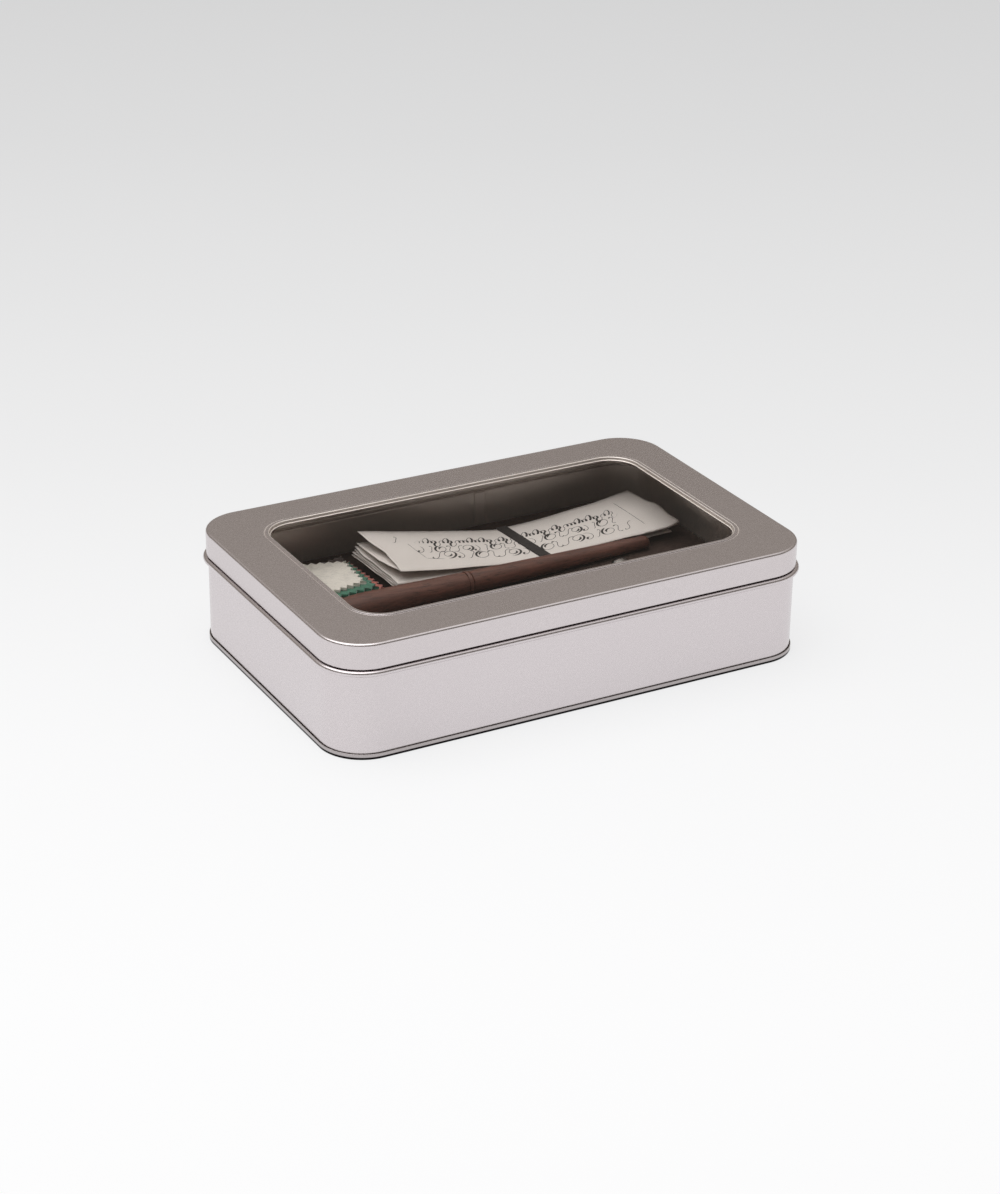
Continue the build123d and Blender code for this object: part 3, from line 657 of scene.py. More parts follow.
def twisted_thread():
    """Waxed linen thread with a slanting twist."""
    finish = Finish("twisted_thread", Roughness=0.8, Sheen_Weight=0.2)
    slanted = finish.mapped((1, 1, 1), (0.8, 0, 0))
    inputs = {"Vector": slanted, "Scale": 420.0, "Distortion": 1.5, "Detail": 2.0}
    twist = finish.add("TexWave", inputs).outputs[1]
    finish.colour(twist, (0.2, (0.26, 0.22, 0.16)), (0.8, (0.60, 0.53, 0.42)))
    return finish.bump(twist, 0.08, 0.7)


# ---- tin ----


def tin_pieces():
    """Lid, wall and bottom as swept sheet metal."""
    lid = ringed(swept(track(), lid_section()))
    piece("window_lid", lid, "lid", tinplate("lid_tinplate", (0.705, 0.652, 0.660), 0.01),
          ["lid_shell"])
    half = LOCK_SEAM_WIDTH / 2
    around = np.array((-0.45, -0.22, -0.1, 0, 0.1, 0.22, 0.45))
    across = LOCK_SEAM_X + np.concatenate([around - half, around + half])
    stations = track(back_shares=across / LID_CENTRES[0])
    section, inner = wall_section()
    wall = ringed(swept(stations, section, lock_seam_swell(stations, inner)))
    # the wall's colour is painted nearly black up to 2.75 mm: painted shade in the crease above the seam
    piece("rolled_wall", wall, "tin", tinplate("wall_tinplate_painted_shade", (0.72, 0.668, 0.680), 2.75),
          ["body_wall"])
    # painted shade: the seam's colour is darker than the wall's because it is less lit, and nearly black
    # below 1.15 mm for the contact shadow on the floor
    base = capped(swept(track(), base_section()))
    piece("seamed_bottom", base, "tin", tinplate("seam_tinplate_painted_shade", (0.50, 0.46, 0.46), 1.15),
          ["base_plate"])


# ---- sheaf of folded sheets ----

# Each folded sheet, lowest first. Ends are (near, far); edges are y at the left, at the ribbon and at the
# right; rises are of the lower ply, then of the upper one.
SHEAF = [dict(zip(("left", "right", "near", "far", "left_rise", "right_rise"), row)) for row in (
    ((-29.5, -32.0), (80.6, 83.0), (15.6, 16.0, 21.5), (46.6, 46.8, 46.5),
     ((0.8, 1.2), (1.2, 1.9)), ((0.2, 0.5), (0.3, 0.8))),
    ((-32.0, -34.5), (87.4, 84.2), (15.2, 15.6, 15.7), (46.9, 47.0, 46.4),
     ((1.8, 2.9), (2.2, 3.6)), ((1.2, 0.9), (1.3, 1.2))),
    ((-37.5, -40.8), (79.0, 83.4), (14.6, 15.6, 20.0), (46.2, 46.5, 46.6),
     ((2.7, 4.4), (3.2, 5.2)), ((1.3, 1.3), (1.5, 1.7))),
    ((-37.7, -40.0), (78.4, 83.6), (12.7, 14.9, 18.6), (45.8, 46.0, 46.3),
     ((3.4, 5.6), (3.9, 6.6)), ((1.5, 2.1), (1.7, 2.8))),
    ((-36.1, -38.7), (91.0, 86.0), (13.6, 14.6, 14.3), (45.7, 46.2, 48.2),
     ((7.9, 7.2), (7.8, 11.8)), ((1.1, 3.3), (1.6, 4.8))))]
# Torn ends of the two top sheets: (share of the depth, x), of the upper and the lower ply.
TORN_UPPER = ((0, -36.1), (0.15, -35.4), (0.31, -35.5), (0.45, -35.1), (0.55, -35.9), (0.72, -37.6),
              (1, -38.7))
TORN_LOWER = ((0, -35.9), (0.07, -35.7), (0.21, -37.4), (0.34, -37.9), (0.39, -38.7), (0.79, -39.1),
              (1, -39.0))
TORN_SECOND = ((0, -37.7), (0.2, -37.7), (0.38, -38.6), (0.55, -39.0), (0.76, -40.2), (1, -39.8))
TORN_RIGHT = ((0, 91.3), (0.02, 91.5), (0.17, 90.7), (0.32, 90.5), (0.40, 90.85), (0.54, 90.6), (0.59, 89.2),
              (0.68, 88.2), (0.84, 87.1), (1, 86.0))
TIP_CUT, TIP_FROM, TIP_RUN = 2.4, 84, 7     # the top sheet's right tip is cut back at its near edge
LEFT_BENDS = (1.4, 1.08)                    # powers of the curl at the near and the far edge
RIGHT_BENDS = (1.2, 1.7)


def across_sheet(sheet, edge, x):
    """y of a sheet's near or far edge at x: straight to the ribbon and straight on, and the tip's cut."""
    y = np.interp(x, (sheet["left"][1], BAND_X, sheet["right"][0]), sheet[edge])
    if edge == "near" and sheet is SHEAF[-1]:
        y = y + TIP_CUT * np.clip((x - TIP_FROM) / TIP_RUN, 0, 1) ** 1.5
    return y


def ply_height(number, ply, x, depth):
    """Height of a ply (0 lower, 1 upper) where depth runs from its near edge (0) to its far one (1).

    Level under the ribbon + left rise x reach^bend + right rise x reach^bend, each blended across the sheet,
    and a slight buckle. At the near edge, the fold, the plies run together round a small half circle.
    """
    sheet = SHEAF[number]
    level = PLY_LEVEL + number * SHEET_PITCH

    def one(which):
        left, right = sheet["left_rise"][which], sheet["right_rise"][which]
        to_left = np.clip((BAND_X - PINCH - x) / (BAND_X - PINCH - sheet["left"][1]), 0, 1.05)
        to_right = np.clip((x - BAND_X - PINCH) / (sheet["right"][0] - BAND_X - PINCH), 0, 1.05)
        near = left[0] * to_left ** LEFT_BENDS[0] + right[0] * to_right ** RIGHT_BENDS[0]
        far = left[1] * to_left ** LEFT_BENDS[1] + right[1] * to_right ** RIGHT_BENDS[1]
        return level + which * PLY_PITCH + near + (far - near) * depth

    fold = 0.012
    low, high = one(0), one(1)
    spread = np.sqrt(np.clip(depth / fold, 0, 1))
    away = np.clip(np.abs(x - BAND_X) / 12 - 0.4, 0, 1)
    buckle = 0.11 * smooth_noise(x, depth * 30, 7 + number, 26) * away
    return (low + high) / 2 + (ply - 0.5) * (high - low) * spread + buckle


def folded_sheet(number, finish):
    """One sheet folded along its near edge, its lower ply running in to the fold and its upper one out.

    Its ends are ragged, x = end + fine noise, and those of the two top sheets are torn.
    """
    sheet = SHEAF[number]
    across = np.linspace(-1, 1, 45)
    across = np.sign(across) * np.abs(across) ** 1.5
    u, v = np.meshgrid(np.linspace(0, 1, 110), across, indexing="ij")
    depth = np.abs(v)
    upper = v > 0
    seed = 20 + number

    def waves(x, shift, size, height):
        """Slow waves along an edge."""
        return height * smooth_noise(x, 0 * x, seed + shift, size)

    def torn(table):
        """x of a torn end."""
        return np.interp(depth, *zip(*table))

    ragged = 0.28 * smooth_noise(depth * 30, v, seed, 9) + 0.10 * smooth_noise(depth * 30, v, seed + 9, 1.7)
    left = sheet["left"][0] + (sheet["left"][1] - sheet["left"][0]) * depth - ragged
    right = sheet["right"][0] + (sheet["right"][1] - sheet["right"][0]) * depth + ragged
    if number == len(SHEAF) - 1:
        left = np.where(upper, torn(TORN_UPPER), torn(TORN_LOWER)) - ragged / 3
        right = torn(TORN_RIGHT) + ragged / 3
    if number == len(SHEAF) - 2:
        left = torn(TORN_SECOND) - ragged / 3
    x = left + (right - left) * u
    wobble = waves(x, 3, 11, 0.10) + waves(x, 5, 2.3, 0.07)
    near = across_sheet(sheet, "near", x) + wobble * (np.abs(x - BAND_X) > PINCH)
    far = across_sheet(sheet, "far", x) + np.where(v < 0, 0.35, 0.0) + waves(x, 6, 4, 0.06)
    y = near + (far - near) * depth
    z = ply_height(number, upper.astype(float), x, depth)
    solid = np.stack([x, y, z], -1), grid_faces(*x.shape)
    place = str(len(SHEAF) - number)
    thing = piece("folded_sheet_" + place, solid, "sheaf", finish, ["copy_sheet_" + place],
                  sharp=80, outside=(BAND_X, 40.0, -2000.0))
    thicken(thing, PLY)


def on_top_sheet(x, y, above):
    """Points lying on the top sheet's face."""
    sheet = SHEAF[-1]
    near, far = across_sheet(sheet, "near", x), across_sheet(sheet, "far", x)
    height = ply_height(len(SHEAF) - 1, 1.0, x, (y - near) / (far - near))
    return np.stack([x, y, height + PLY / 2 + above], -1)


def strokes(x, y, fine=PEN_FINE, broad=PEN_BROAD):
    """Pen strokes as flat closed strips on the top sheet. Each row of x and y is one stroke.

    Half width = fine + broad x (share of the travel that goes down the slant)^1.5, and both ends taper.
    """
    slant, blunt, edge, crown = (0.35, 0.94), 0.25, 0.012, 0.03
    run_x, run_y = np.gradient(x, axis=1), np.gradient(y, axis=1)
    length = np.hypot(run_x, run_y) + 1e-9
    down = np.clip(-(slant[0] * run_x + slant[1] * run_y) / length, 0, 1)
    share = np.linspace(0, 1, x.shape[1])
    taper = np.clip(np.minimum(share, 1 - share) * 14, blunt, 1)
    half = (fine + broad * down ** 1.5) * taper
    side_x, side_y = -run_y / length * half, run_x / length * half
    corners = [on_top_sheet(x + side_x, y + side_y, edge), on_top_sheet(x, y, crown),
               on_top_sheet(x - side_x, y - side_y, edge), on_top_sheet(x, y, 0.0)]
    grid = np.stack(corners, 2)
    return [capped(one) for one in grid]


def looped_row(line, heights, pitch):
    """A running row of slanted loops: x = pitch x turn - loop x sin + slant x lift, lift = height(1 - cos)/2.

    The heights repeat, so that some loops stand tall and some hang below the line, whose points are given.
    """
    tall, slant = 2.6, 0.5
    start, end = line[0][0], line[-1][0]
    count = int((end - start) / pitch)
    turn = np.linspace(0, count, count * 22 + 1)
    height = np.take(heights, np.minimum(turn.astype(int), count - 1), mode="wrap")
    lift = height * (1 - np.cos(2 * pi * turn)) / 2
    loop = np.where(np.abs(height) > tall, 0.8, 0.5)
    x = start + pitch * turn - loop * np.sin(2 * pi * turn) + slant * lift
    y = np.interp(start + pitch * turn, *zip(*line)) + lift
    return strokes(x[None], y[None])


def curl_row(line, size, spacing, seed):
    """A row of drill curls along a line: open spirals, hooked stems and loops.

    Each walks along its heading, a + b s + c s^2 + d s^3 for s from -1 to 1, and is then centred, leaned
    over and brought to a height of twice the size.
    """
    random = np.random.default_rng(seed)
    middles = np.arange(line[0][0], line[-1][0], spacing)
    middles = middles + random.uniform(-0.25, 0.25, len(middles))
    kinds = np.array(((1.4, 0.3, 3.0, 0.0), (0.4, 3.6, 0.6, 0.6), (1.5, -0.6, 0.4, 3.0),
                      (1.2, 2.4, -2.2, 1.0), (0.2, -3.8, 0.8, -0.5), (1.6, 0.6, -3.0, -0.6)))
    pick = (np.arange(len(middles)) * 5 + seed) % len(kinds)
    bends = kinds[pick] + random.uniform(-0.25, 0.25, (len(middles), 4))
    s = np.linspace(-1, 1, 72)
    heading = bends @ np.stack([np.ones_like(s), s, s ** 2, s ** 3])
    walk = np.stack([np.cumsum(np.cos(heading), 1), np.cumsum(np.sin(heading), 1)])
    low, high = walk.min(2, keepdims=True), walk.max(2, keepdims=True)
    half = (high - low) / 2
    widest, lean = 0.95, 0.42
    x, up = (walk - (high + low) / 2) / half * size
    x = x * np.minimum(half[0] / half[1], widest)
    height = np.interp(middles, *zip(*line))
    return strokes(middles[:, None] + x + lean * up, height[:, None] + up)


def penmanship(finish):
    """Practice strokes and ruled lines on the top sheet."""
    heights = np.array((2.0, 2.0, 4.2, 2.0, 2.0, -3.0, 2.0, 4.0, 2.0, -3.2, 2.0, 2.0, 2.0, 4.1))
    parts = looped_row(((-18.5, 35.6), (25, 34.2), (74, 34.8)), heights, 1.75)
    parts += curl_row(((-26.0, 38.4), (-24.0, 38.4)), 2.4, 4.0, 2)
    parts += curl_row(((-18.5, 30.2), (25, 29.5), (69, 30.0)), 2.5, 4.1, 3)
    parts += curl_row(((-13.5, 25.2), (30, 22.0), (75, 23.0)), 2.9, 4.7, 5)
    for first, last in (((-22.2, 35.4), (-19.9, 22.9)), ((-19.9, 22.9), (-12.6, 21.8)),
                        ((75.8, 43.0), (77.6, 20.0))):
        x, y = np.linspace(first, last, 60).T
        parts += strokes(x[None], y[None], RULED, 0.0)
    piece("practice_strokes", together(*parts), "sheaf", finish, sharp=60)


def ribbon_band(finish):
    """Ribbon round the sheaf: a flat section, thicker at its selvedges, carried round a rounded rectangle."""
    near, far = 14.14, 47.24
    low, high = LIE + 0.15, PLY_LEVEL + 4 * SHEET_PITCH + PLY_PITCH + PLY / 2 + 0.2
    radius, lip = 0.55, 0.06
    shares, normals = track(6, 16)
    across = np.linspace(-1, 1, 9)
    swelling = 0.10 + 0.045 * np.abs(across) ** 6
    offset = np.concatenate([swelling, [lip, -lip], -swelling[::-1], [-lip, lip]])
    edge = BAND_WIDTH / 2
    x = BAND_X + np.concatenate([across * edge, [edge + lip] * 2, across[::-1] * edge, [-edge - lip] * 2])
    reach = radius + offset[:, None]
    y = (near + far) / 2 + shares[:, 0] * ((far - near) / 2 - radius) + normals[:, 0] * reach
    z = (low + high) / 2 + shares[:, 1] * ((high - low) / 2 - radius) + normals[:, 1] * reach
    askew = BAND_SKEW * (y - (near + far) / 2)
    band = ringed(np.stack([x[:, None] + askew, y, z], -1))
    piece("ribbon_band", band, "sheaf", finish, ["sheaf_band"], sharp=50)


def sheaf_pieces():
    """Sheets, practice strokes and ribbon."""
    sheet_paper = paper("copy_paper", (0.76, 0.70, 0.665))
    for number in range(len(SHEAF)):
        folded_sheet(number, sheet_paper)
    penmanship(writing_ink())
    ribbon_band(ribbon_cloth())


# ---- penholder and nibs ----


def in_pen(points):
    """Points given as (along, aside, up) from the grip's end, put in the tin."""
    yaw, tilt = radians(PEN_YAW), radians(PEN_TILT)
    along = np.array((cos(yaw) * cos(tilt), sin(yaw) * cos(tilt), -sin(tilt)))
    up = np.array((cos(yaw) * sin(tilt), sin(yaw) * sin(tilt), cos(tilt)))
    return PEN_START + points @ np.stack([along, np.cross(up, along), up])


def turned(profile, sides, swell=None):
    """Turn (along, radius), with an extra radius if given, into (along, radius cos, radius sin)."""
    along, radius = np.asarray(profile, float).T[..., None]
    angle = np.linspace(0, 2 * pi, sides, endpoint=False)
    if swell:
        radius = radius + swell(along, radius, angle)
    return np.stack(np.broadcast_arrays(along, radius * np.cos(angle), radius * np.sin(angle)), -1)


def cone_radius(along):
    """Radius of the straight taper from the grip to the tail."""
    share = (along - GRIP_AT) / (PEN_LENGTH - TAIL_RADIUS - GRIP_AT)
    return GRIP_RADIUS - (GRIP_RADIUS - TAIL_RADIUS) * share


def shaft(finish):
    """Turned shaft: bore, rounded mouth, swelling grip, ring between two grooves, taper, round tail.

    The grip's radius swells by 1 - (1 - share of its length)^2.
    """
    bore = FERRULE_RADIUS + 0.03
    depth = FERRULE_LENGTH - FERRULE_LIP
    grip = np.linspace(0.35, GRIP_AT, 12)
    swell = GRIP_END_RADIUS + (GRIP_RADIUS - GRIP_END_RADIUS) * (1 - (1 - grip / GRIP_AT) ** 2)
    before, after = RING_AT - RING_WIDTH / 2, RING_AT + RING_WIDTH / 2
    edge = cone_radius(RING_AT)

    def groove(start):
        """A round-bottomed groove from start."""
        across = np.linspace(-1, 1, 9)
        along = start + (1 + across) * GROOVE_WIDTH / 2
        return np.column_stack([along, edge - GROOVE_DEPTH * np.sqrt(1 - across ** 2)])

    def taper(start, end, steps):
        """Part of the straight taper."""
        along = np.linspace(start, end, steps)
        return np.column_stack([along, cone_radius(along)])

    profile = np.vstack([
        [(depth, 0.4), (depth, bore), (0.3, bore)], arc(0.35, bore + 0.36, 0.35, 270, 180, 4),
        arc(0.35, GRIP_END_RADIUS - 0.33, 0.35, 180, 95, 4), np.column_stack([grip, swell])[1:],
        taper(GRIP_AT + 2, before - GROOVE_WIDTH - 0.3, 22), groove(before - GROOVE_WIDTH),
        arc(RING_AT, edge - 1.7, 1.7 + RING_RISE, 113, 67, 6), groove(after),
        taper(after + GROOVE_WIDTH + 0.3, PEN_LENGTH - TAIL_RADIUS, 36),
        arc(PEN_LENGTH - TAIL_RADIUS, 0, TAIL_RADIUS, 82, 4, 9)])
    solid = capped(in_pen(turned(profile, 72)))
    piece("turned_shaft", solid, "penholder", finish, ["penholder_shaft"], sharp=40)


def ferrule_tube(finish):
    """Steel tube with a rolled lip."""
    outer, inner = FERRULE_RADIUS, FERRULE_RADIUS - FERRULE_WALL
    middle = (outer + inner) / 2
    front, back = -FERRULE_LIP, FERRULE_LENGTH - FERRULE_LIP
    profile = np.vstack([
        arc(front + 0.2, middle, 0.2, 270, 90, 8), [(front + 0.5, outer - 0.05), (front + 0.7, outer)],
        arc(back - 0.1, middle + 0.05, 0.1, 90, 0, 3), arc(back - 0.1, middle - 0.05, 0.1, 0, -90, 3),
        [(front + 0.7, inner)]])
    tube = ringed(in_pen(turned(profile, 56)))
    piece("nib_ferrule", tube, "penholder", finish, ["ferrule"])


def nib_blade():
    """Both halves of a nib as (distance from the heel, aside, up), bowed on a cylinder.

    Half width: the cylinder's at the heel, then (radius + 0.3)(1 - q)^0.9 to the point. The inner edge
    leaves the middle round the vent hole, sqrt(hole^2 - d^2), and along the slit.
    """
    s = np.concatenate([np.linspace(0, NIB_HEEL - 0.2, 12), np.linspace(NIB_HEEL + 0.3, NIB_HEEL + 1.7, 13),
                        np.linspace(NIB_HEEL + 2.2, NIB_LENGTH, 20)])
    q = np.clip((s - NIB_HEEL) / (NIB_LENGTH - NIB_HEEL), 0, 1)
    half = np.minimum(NIB_RADIUS * 0.998, (NIB_RADIUS + 0.3) * (1 - q) ** 0.9 + NIB_TIP * q)
    hole = np.sqrt(np.clip(NIB_HOLE ** 2 - (s - NIB_HEEL - 1) ** 2, 0, None))
    gap = np.maximum(hole, np.where(s > NIB_HEEL + 1, NIB_SLIT / 2, 0))
    across = np.linspace(0, 1, 12)[None]
    edge, inner = np.arcsin(half / NIB_RADIUS)[:, None], np.arcsin(gap / NIB_RADIUS)[:, None]
    angle = inner + (edge - inner) * across
    aside, up = NIB_RADIUS * np.sin(angle), NIB_RADIUS * np.cos(angle)
    far = np.broadcast_to(s[:, None], aside.shape)
    one, other = (np.stack([far, aside * side, up], -1) for side in (1, -1))
    faces = grid_faces(*far.shape)
    return together((one, faces), (other, [face[::-1] for face in faces]))


def nibs(finish):
    """The nib in its ferrule, and the loose one with its point to the front."""
    blade, faces = nib_blade()
    held = in_pen(blade * (-1, 1, 1) + (NIB_INSERTED - FERRULE_LIP, 0, 0))
    loose = np.stack([blade[:, 1], -blade[:, 0], LOOSE_NIB_HEIGHT * blade[:, 2]], -1) + LOOSE_NIB
    for name, points, body in (("pointed_nib", held, "nib"), ("loose_nib", loose, "spare_nib")):
        below = points.mean(0) - (0, 0, 400)
        thing = piece(name, (points, faces), body, finish, [body], sharp=50, outside=below)
        merge = thing.modifiers.new("halves", "WELD")
        merge.merge_threshold = 0.002 * MM
        thicken(thing, NIB_STOCK, -1.0)


# ---- wiper ----

# Felt patches, lowest first: near right, far right, far left and near left corner, from the stitch's middle.
PATCHES = {
    "brown": ((20.6, -17.0), (23.5, 24.6), (-17.0, 15.0), (-17.5, -19.5)),
    "red": ((24.5, -13.6), (22.6, 15.4), (-16.0, 19.0), (-15.0, -17.5)),
    "green": ((20.8, -14.2), (21.2, 12.0), (-13.0, 15.0), (-13.5, -17.4)),
    "white": ((17.4, -10.2), (18.9, 10.8), (-10.5, 19.9), (-10.5, -16.2)),
}
DYES = {"brown": (0.085, 0.040, 0.032), "red": (0.50, 0.115, 0.080),
        "green": (0.022, 0.155, 0.090), "white": (0.80, 0.745, 0.67)}


def pinked_outline(corners, steps=4):
    """Straight outline and its zigzag: a whole number of teeth a side, cut inwards by 1 - |2 frac - 1|."""
    straight, teeth = [], []
    for (x0, y0), (x1, y1) in zip(corners, corners[1:] + corners[:1]):
        length = np.hypot(x1 - x0, y1 - y0)
        count = round(length / TOOTH_PITCH)
        s = np.arange(count * steps) / (count * steps)
        cut = TOOTH_DEPTH * (1 - np.abs(2 * ((s * count) % 1) - 1))
        inward = np.array((-(y1 - y0), x1 - x0)) / length
        straight.append(np.stack([x0 + (x1 - x0) * s, y0 + (y1 - y0) * s], 1))
        teeth.append(cut[:, None] * inward)
    return np.vstack(straight), np.vstack(teeth)


def felt_patch(number, name):
    """A patch: rings from its middle out to the pinked edge, over a rounded rim and back underneath.

    Every patch has the same slow waves, so that they lie on each other; its own nap is a fine noise.
    """
    straight, teeth = pinked_outline(PATCHES[name])
    out = np.array((0.06, 0.2, 0.34, 0.48, 0.62, 0.74, 0.84, 0.91, 0.96, 0.99, 1.0, 1.004, 1.0))
    rise = np.array((1, 1, 1, 1, 1, 1, 1, 1, 1, 0.96, 0.84, 0.5, 0.16))
    out = np.append(out, out[:-3][::-1])
    rise = np.append(rise, (1 - rise[:-3])[::-1])
    blend = np.clip((out - 0.8) / 0.2, 0, 1)[:, None, None]
    flat = out[:, None, None] * straight + blend * teeth
    x, y = STITCH[0] + flat[..., 0], STITCH[1] + flat[..., 1]
    nap = 0.035 * smooth_noise(x * 1.3, y * 1.3 + 50 * rise[:, None], 40 + number, 1.1)
    held_down = np.clip(np.hypot(flat[..., 0], flat[..., 1]) / 12, 0, 1)
    waves = 0.22 * (1 + smooth_noise(x, y, 31, 34)) * held_down
    z = LIE + number * FELT_PITCH + FELT_THICKNESS * rise[:, None] + waves * 0.7
    node = "felt_" + name
    solid = capped(np.stack([x + nap, y + nap, z], -1))
    patch = piece("felt_patch_" + name, solid, "wiper", felt(node, DYES[name]), [node], sharp=70)


def stitch(finish):
    """Twisted thread up through the patches, across the top and down again.

    Tube round a path: radius x (0.86 + 0.14 cos(2 angle - twist x length)).
    """
    top = LIE + len(PATCHES) * FELT_PITCH + 0.42
    bend, half, twist = 0.9, STITCH_SPACING / 2, 3.2
    first = np.linspace((-half, LIE + 0.3), (-half, top - bend), 16)
    over = arc(-half + bend, top - bend, bend, 180, 90, 6)[1:]
    bar = np.linspace((-half + bend, top), (half - bend, top), 9)[1:-1]
    path = np.vstack([first, over, bar, over[::-1] * (-1, 1), first[::-1] * (-1, 1)])
    run = np.gradient(path, axis=0)
    run /= np.linalg.norm(run, axis=1)[:, None]
    length = np.append(0, np.cumsum(np.linalg.norm(np.diff(path, axis=0), axis=1)))
    angle = np.linspace(0, 2 * pi, 14, endpoint=False)
    radius = THREAD_RADIUS * (0.86 + 0.14 * np.cos(2 * angle - twist * length[:, None]))
    aside, away = radius * np.cos(angle), radius * np.sin(angle)
    x = STITCH[0] + aside
    y = STITCH[1] + path[:, :1] - run[:, 1:] * away
    z = path[:, 1:] + run[:, :1] * away
    thread = capped(np.stack([x, y, z], -1))
    piece("twisted_stitch", thread, "wiper", finish, ["wiper_thread"], sharp=70)


def wiper_pieces():
    """Felt patches and their stitch."""
    for number, name in enumerate(PATCHES):
        felt_patch(number, name)
    stitch(twisted_thread())


# ---- ink bottle ----


def upright(profile, sides, swell):
    """Turn (radius, height) about the bottle's axis, with an extra radius for each point."""
    return BOTTLE + turned(np.asarray(profile)[:, ::-1], sides, swell)[..., (1, 2, 0)]


def screw_ridge(height, radius, angle):
    """Ridge of the glass thread: a bump where height - pitch x turns is near a whole pitch."""
    phase = (height - LEDGE - THREAD_PITCH * angle / (2 * pi)) / THREAD_PITCH
    near = np.abs(phase - np.round(phase)) * THREAD_PITCH
    run_out, flank = 1.2, 0.6
    fade = (np.clip((height - LEDGE - 0.8) / run_out, 0, 1)
            * np.clip((MOUTH - run_out - height) / run_out, 0, 1))
    return THREAD_RISE * np.clip(1.25 - near / flank, 0, 1) * fade * (np.abs(radius - NECK_RADIUS) < 0.1)


def glass_bottle(finish):
    """Moulded bottle: heel, straight side, shoulder, threaded neck and lip; thick walls inside."""
    inside = BOTTLE_RADIUS - BOTTLE_WALL
    throat = NECK_RADIUS - NECK_WALL
    profile = np.vstack([
        [(4.0, 0.5), (10.5, 0.5), (12.0, 0.0)], arc(BOTTLE_RADIUS - 1.2, 1.2, 1.2, 270, 360, 8),
        arc(BOTTLE_RADIUS - SHOULDER_ROUND, SHOULDER, SHOULDER_ROUND, 0, 90, 12),
        arc(NECK_RADIUS + 0.6, LEDGE + 0.6, 0.6, 270, 180, 5),
        np.linspace((NECK_RADIUS, LEDGE + 0.6), (NECK_RADIUS, MOUTH - 0.5), 40),
        arc(NECK_RADIUS - 0.5, MOUTH - 0.5, 0.5, 0, 90, 5), arc(throat + 0.5, MOUTH - 0.5, 0.5, 90, 180, 5),
        [(throat, LEDGE - BOTTLE_WALL + 1), (throat + 1, LEDGE - BOTTLE_WALL)],
        arc(inside - SHOULDER_ROUND, SHOULDER - BOTTLE_WALL, SHOULDER_ROUND, 80, 0, 8),
        arc(inside - 1, BOTTLE_WALL + 1, 1, 0, -90, 5), [(4.0, BOTTLE_WALL)]])
    bottle = capped(upright(profile, 96, screw_ridge))
    piece("moulded_bottle", bottle, "bottle", finish, ["ink_bottle"], sharp=60)


def label(finish):
    """Bare paper label: radius constant, angle across, height up, with a slightly lifted end."""
    half, middle = radians(LABEL_ARC / 2), -pi / 2
    angle = middle + np.linspace(-half, half, 90)
    height = np.linspace(LABEL_BOTTOM, LABEL_BOTTOM + LABEL_HEIGHT, 14)
    angle, height = np.meshgrid(angle, height, indexing="ij")
    lift = 0.22 * np.clip((np.abs(angle - middle) / half - 0.975) / 0.025, 0, 1) ** 2
    radius = BOTTLE_RADIUS + 0.1 + lift
    points = BOTTLE + np.stack([radius * np.cos(angle), radius * np.sin(angle), height], -1)
    thing = piece("paper_label", (points, grid_faces(*angle.shape)), "bottle", finish,
                  ["bottle_label"], sharp=80, outside=BOTTLE + (0, 0, 8))
    thicken(thing, PLY)


def cap_ribs(height, radius, angle):
    """Fine upright ribs on the cap's side."""
    side = np.clip((height - CAP_FOOT - 0.7) / 0.4, 0, 1) * np.clip((CAP_TOP - 1.1 - height) / 0.4, 0, 1)
    ribs = -0.28 * (0.5 + 0.5 * np.cos(CAP_RIBS * angle)) ** 2
    return ribs * side * (radius > CAP_RADIUS - 0.1)


def screw_cap(finish):
    """Ribbed cap: dished top, rounded edge, ribbed side with a plain foot, and the hollow inside."""
    inside = CAP_RADIUS - CAP_WALL
    dish = CAP_TOP - 0.25
    profile = np.vstack([
        [(2.0, dish), (6.6, dish), (7.0, CAP_TOP - 0.04), (7.4, CAP_TOP)],
        arc(CAP_RADIUS - 0.8, CAP_TOP - 0.8, 0.8, 90, 0, 7),
        np.linspace((CAP_RADIUS, CAP_TOP - 1.0), (CAP_RADIUS, CAP_FOOT + 0.2), 18),
        [(CAP_RADIUS - 0.2, CAP_FOOT), (inside + 0.2, CAP_FOOT), (inside, CAP_FOOT + 0.2),
         (inside, CAP_UNDER), (2.0, CAP_UNDER)]])
    cap = capped(upright(profile, CAP_RIBS * 6, cap_ribs))
    piece("ribbed_cap", cap, "cap", finish, ["bottle_cap"], sharp=50)


def bottle_pieces():
    """Bottle, label and cap."""
    glass_bottle(bottle_glass())
    label(paper("label_paper", (0.78, 0.74, 0.64)))
    screw_cap(moulded_cap())


def dress_nodes():
    """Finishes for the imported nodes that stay."""
    card = brown_card()
    finishes = {
        "riser_wall": card, "riser_top": card, "window_pane": clear_film(),
        "pane_adhesive": soft_matte("adhesive", (0.50, 0.49, 0.45), (0.66, 0.65, 0.60), 700, 0.02, 0.35),
        "cap_liner": soft_matte("liner_foam", (0.62, 0.60, 0.55), (0.80, 0.78, 0.73), 1800, 0.08, 0.9),
        "ink": black_ink(), "ferrule_prongs": bright_steel("spring_steel", (0.58, 0.57, 0.55), 0.3),
    }
    for node, finish in finishes.items():
        for material_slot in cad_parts[node].material_slots:
            material_slot.material = finish


# ---- studio ----

BEHIND = (0.488, 0.873, 0)     # away from the camera, along the floor
# Greys of the surroundings by height, towards the camera and behind the tin.
FRONT_SKY = ((0.0, 0.30), (0.10, 0.23), (0.30, 0.20), (0.70, 0.22), (0.84, 0.90), (1.0, 1.0))
BACK_SKY = ((0.0, 0.36), (0.12, 0.28), (0.30, 0.27), (0.42, 0.315), (0.50, 0.40), (0.66, 0.55),
            (0.85, 0.95), (1.0, 1.0))
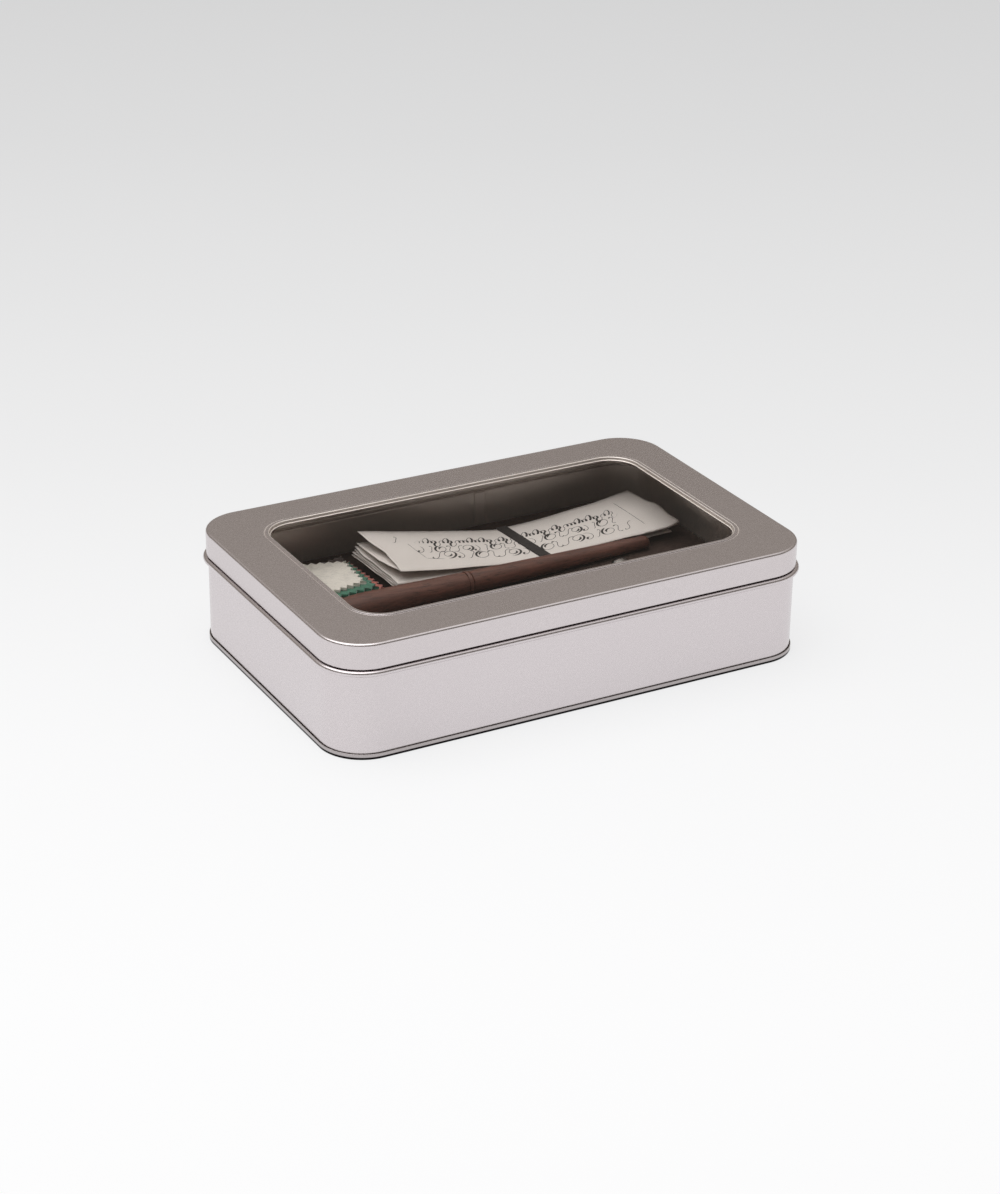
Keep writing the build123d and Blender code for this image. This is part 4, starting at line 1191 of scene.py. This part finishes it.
# Painted shade on the floor: its tones from the front to the back, greyer behind, standing in for the light
# falling off.
FLOOR_PAINTED_FALLOFF = ((0.331, 1.0), (0.345, 0.995), (0.359, 0.985), (0.378, 0.970), (0.409, 0.925), (0.447, 0.865),
               (0.498, 0.812), (0.575, 0.755), (0.90, 0.62))


def camera():
    """Camera a little above the tin, off its front-left corner."""
    lens = bpy.data.cameras.new("camera")
    lens.lens, lens.sensor_width = 83.82, 36.0
    right = (0.87623, -0.48172, 0.01258)
    up = (0.19444, 0.37733, 0.90544)
    back = (-0.44092, -0.79093, 0.42430)
    thing = put("camera", lens)
    turn = Matrix((right, up, back)).transposed().to_4x4()
    thing.matrix_world = Matrix.Translation((-0.47199, -0.84650, 0.47267)) @ turn
    bpy.context.scene.camera = thing


def key_lamp():
    """Large soft square lamp overhead, turned towards the tin."""
    radiance, size = 1.3, 1.4
    lamp = bpy.data.lights.new("key_lamp", "AREA")
    lamp.size = size
    lamp.energy = radiance * pi * size ** 2
    thing = put("key_lamp", lamp)
    thing.location = (-0.40, 0.05, 1.15)
    direction = Vector((0, 0, 0.03)) - thing.location
    thing.rotation_euler = direction.to_track_quat("-Z", "Y").to_euler()


def floor():
    """Pale floor that shows as white and still takes a soft shadow, with painted shade greying it towards the
    back.
    """
    finish = Finish("pale_floor", Roughness=0.9)
    # painted shade: the floor's colour and glow grow greyer towards the back, as the light falls off
    away = finish.math("MULTIPLY_ADD", add_dot(finish.tree, finish.place, BEHIND), 0.25, 0.4)
    tone = finish.ramp(away, *((place, (tone * 0.99, tone * 0.993, tone)) for place, tone in FLOOR_PAINTED_FALLOFF))
    finish.join(tone, "Base Color")
    lit = finish.shader.outputs[0]
    shown = finish.add("Emission", {"Color": tone, "Strength": 1.0}).outputs[0]
    path = finish.add("LightPath").outputs
    seen = finish.math("MAXIMUM", finish.math("MAXIMUM", path["Is Camera Ray"], path["Is Glossy Ray"]),
                       path["Is Transmission Ray"])
    far = 6.0
    mesh = bpy.data.meshes.new("pale_floor")
    mesh.from_pydata([(-far, -far, 0), (far, -far, 0), (far, far, 0), (-far, far, 0)], [], [(0, 1, 2, 3)])
    mesh.materials.append(finish.show(finish.blend(seen, lit, finish.blend(0.8, lit, shown))))
    put("pale_floor", mesh)


def surroundings():
    """Studio round the floor: dark towards the camera, warm grey behind the tin, and pale overhead."""
    world = bpy.data.worlds.new("studio")
    bpy.context.scene.world = world
    world.use_nodes = True
    tree = world.node_tree
    background = tree.nodes["Background"]
    direction = add_node(tree, "TexCoord").outputs["Generated"]
    height = add_node(tree, "SeparateXYZ", {0: direction}).outputs[2]

    def sky(greys):
        """Greys by height, warm near the ground."""
        places, greys = np.array(greys).T
        warm = np.interp(places, (0.0, 0.45, 0.8), (0.19, 0.19, 0.03))
        colours = np.stack([greys, greys * (1 - warm * 0.48), greys * (1 - warm)], 1).tolist()
        return add_ramp(tree, height, list(zip(places.tolist(), map(tuple, colours))))

    side = {0: add_dot(tree, direction, BEHIND), 1: -0.25, 2: 0.25, 3: 0.0, 4: 1.0}
    inputs = {0: add_node(tree, "MapRange", side).outputs[0], 6: sky(FRONT_SKY), 7: sky(BACK_SKY)}
    both = add_node(tree, "Mix", inputs, data_type="RGBA").outputs[2]
    tree.links.new(both, background.inputs["Color"])
    background.inputs["Strength"].default_value = 1.0


camera()
floor()
surroundings()
key_lamp()
bpy.context.scene.view_settings.view_transform = "Standard"
tin_pieces()
sheaf_pieces()
steel = bright_steel("nib_steel", (0.82, 0.81, 0.79), 0.22)
shaft(pen_wood())
ferrule_tube(steel)
nibs(steel)
wiper_pieces()
bottle_pieces()
dress_nodes()
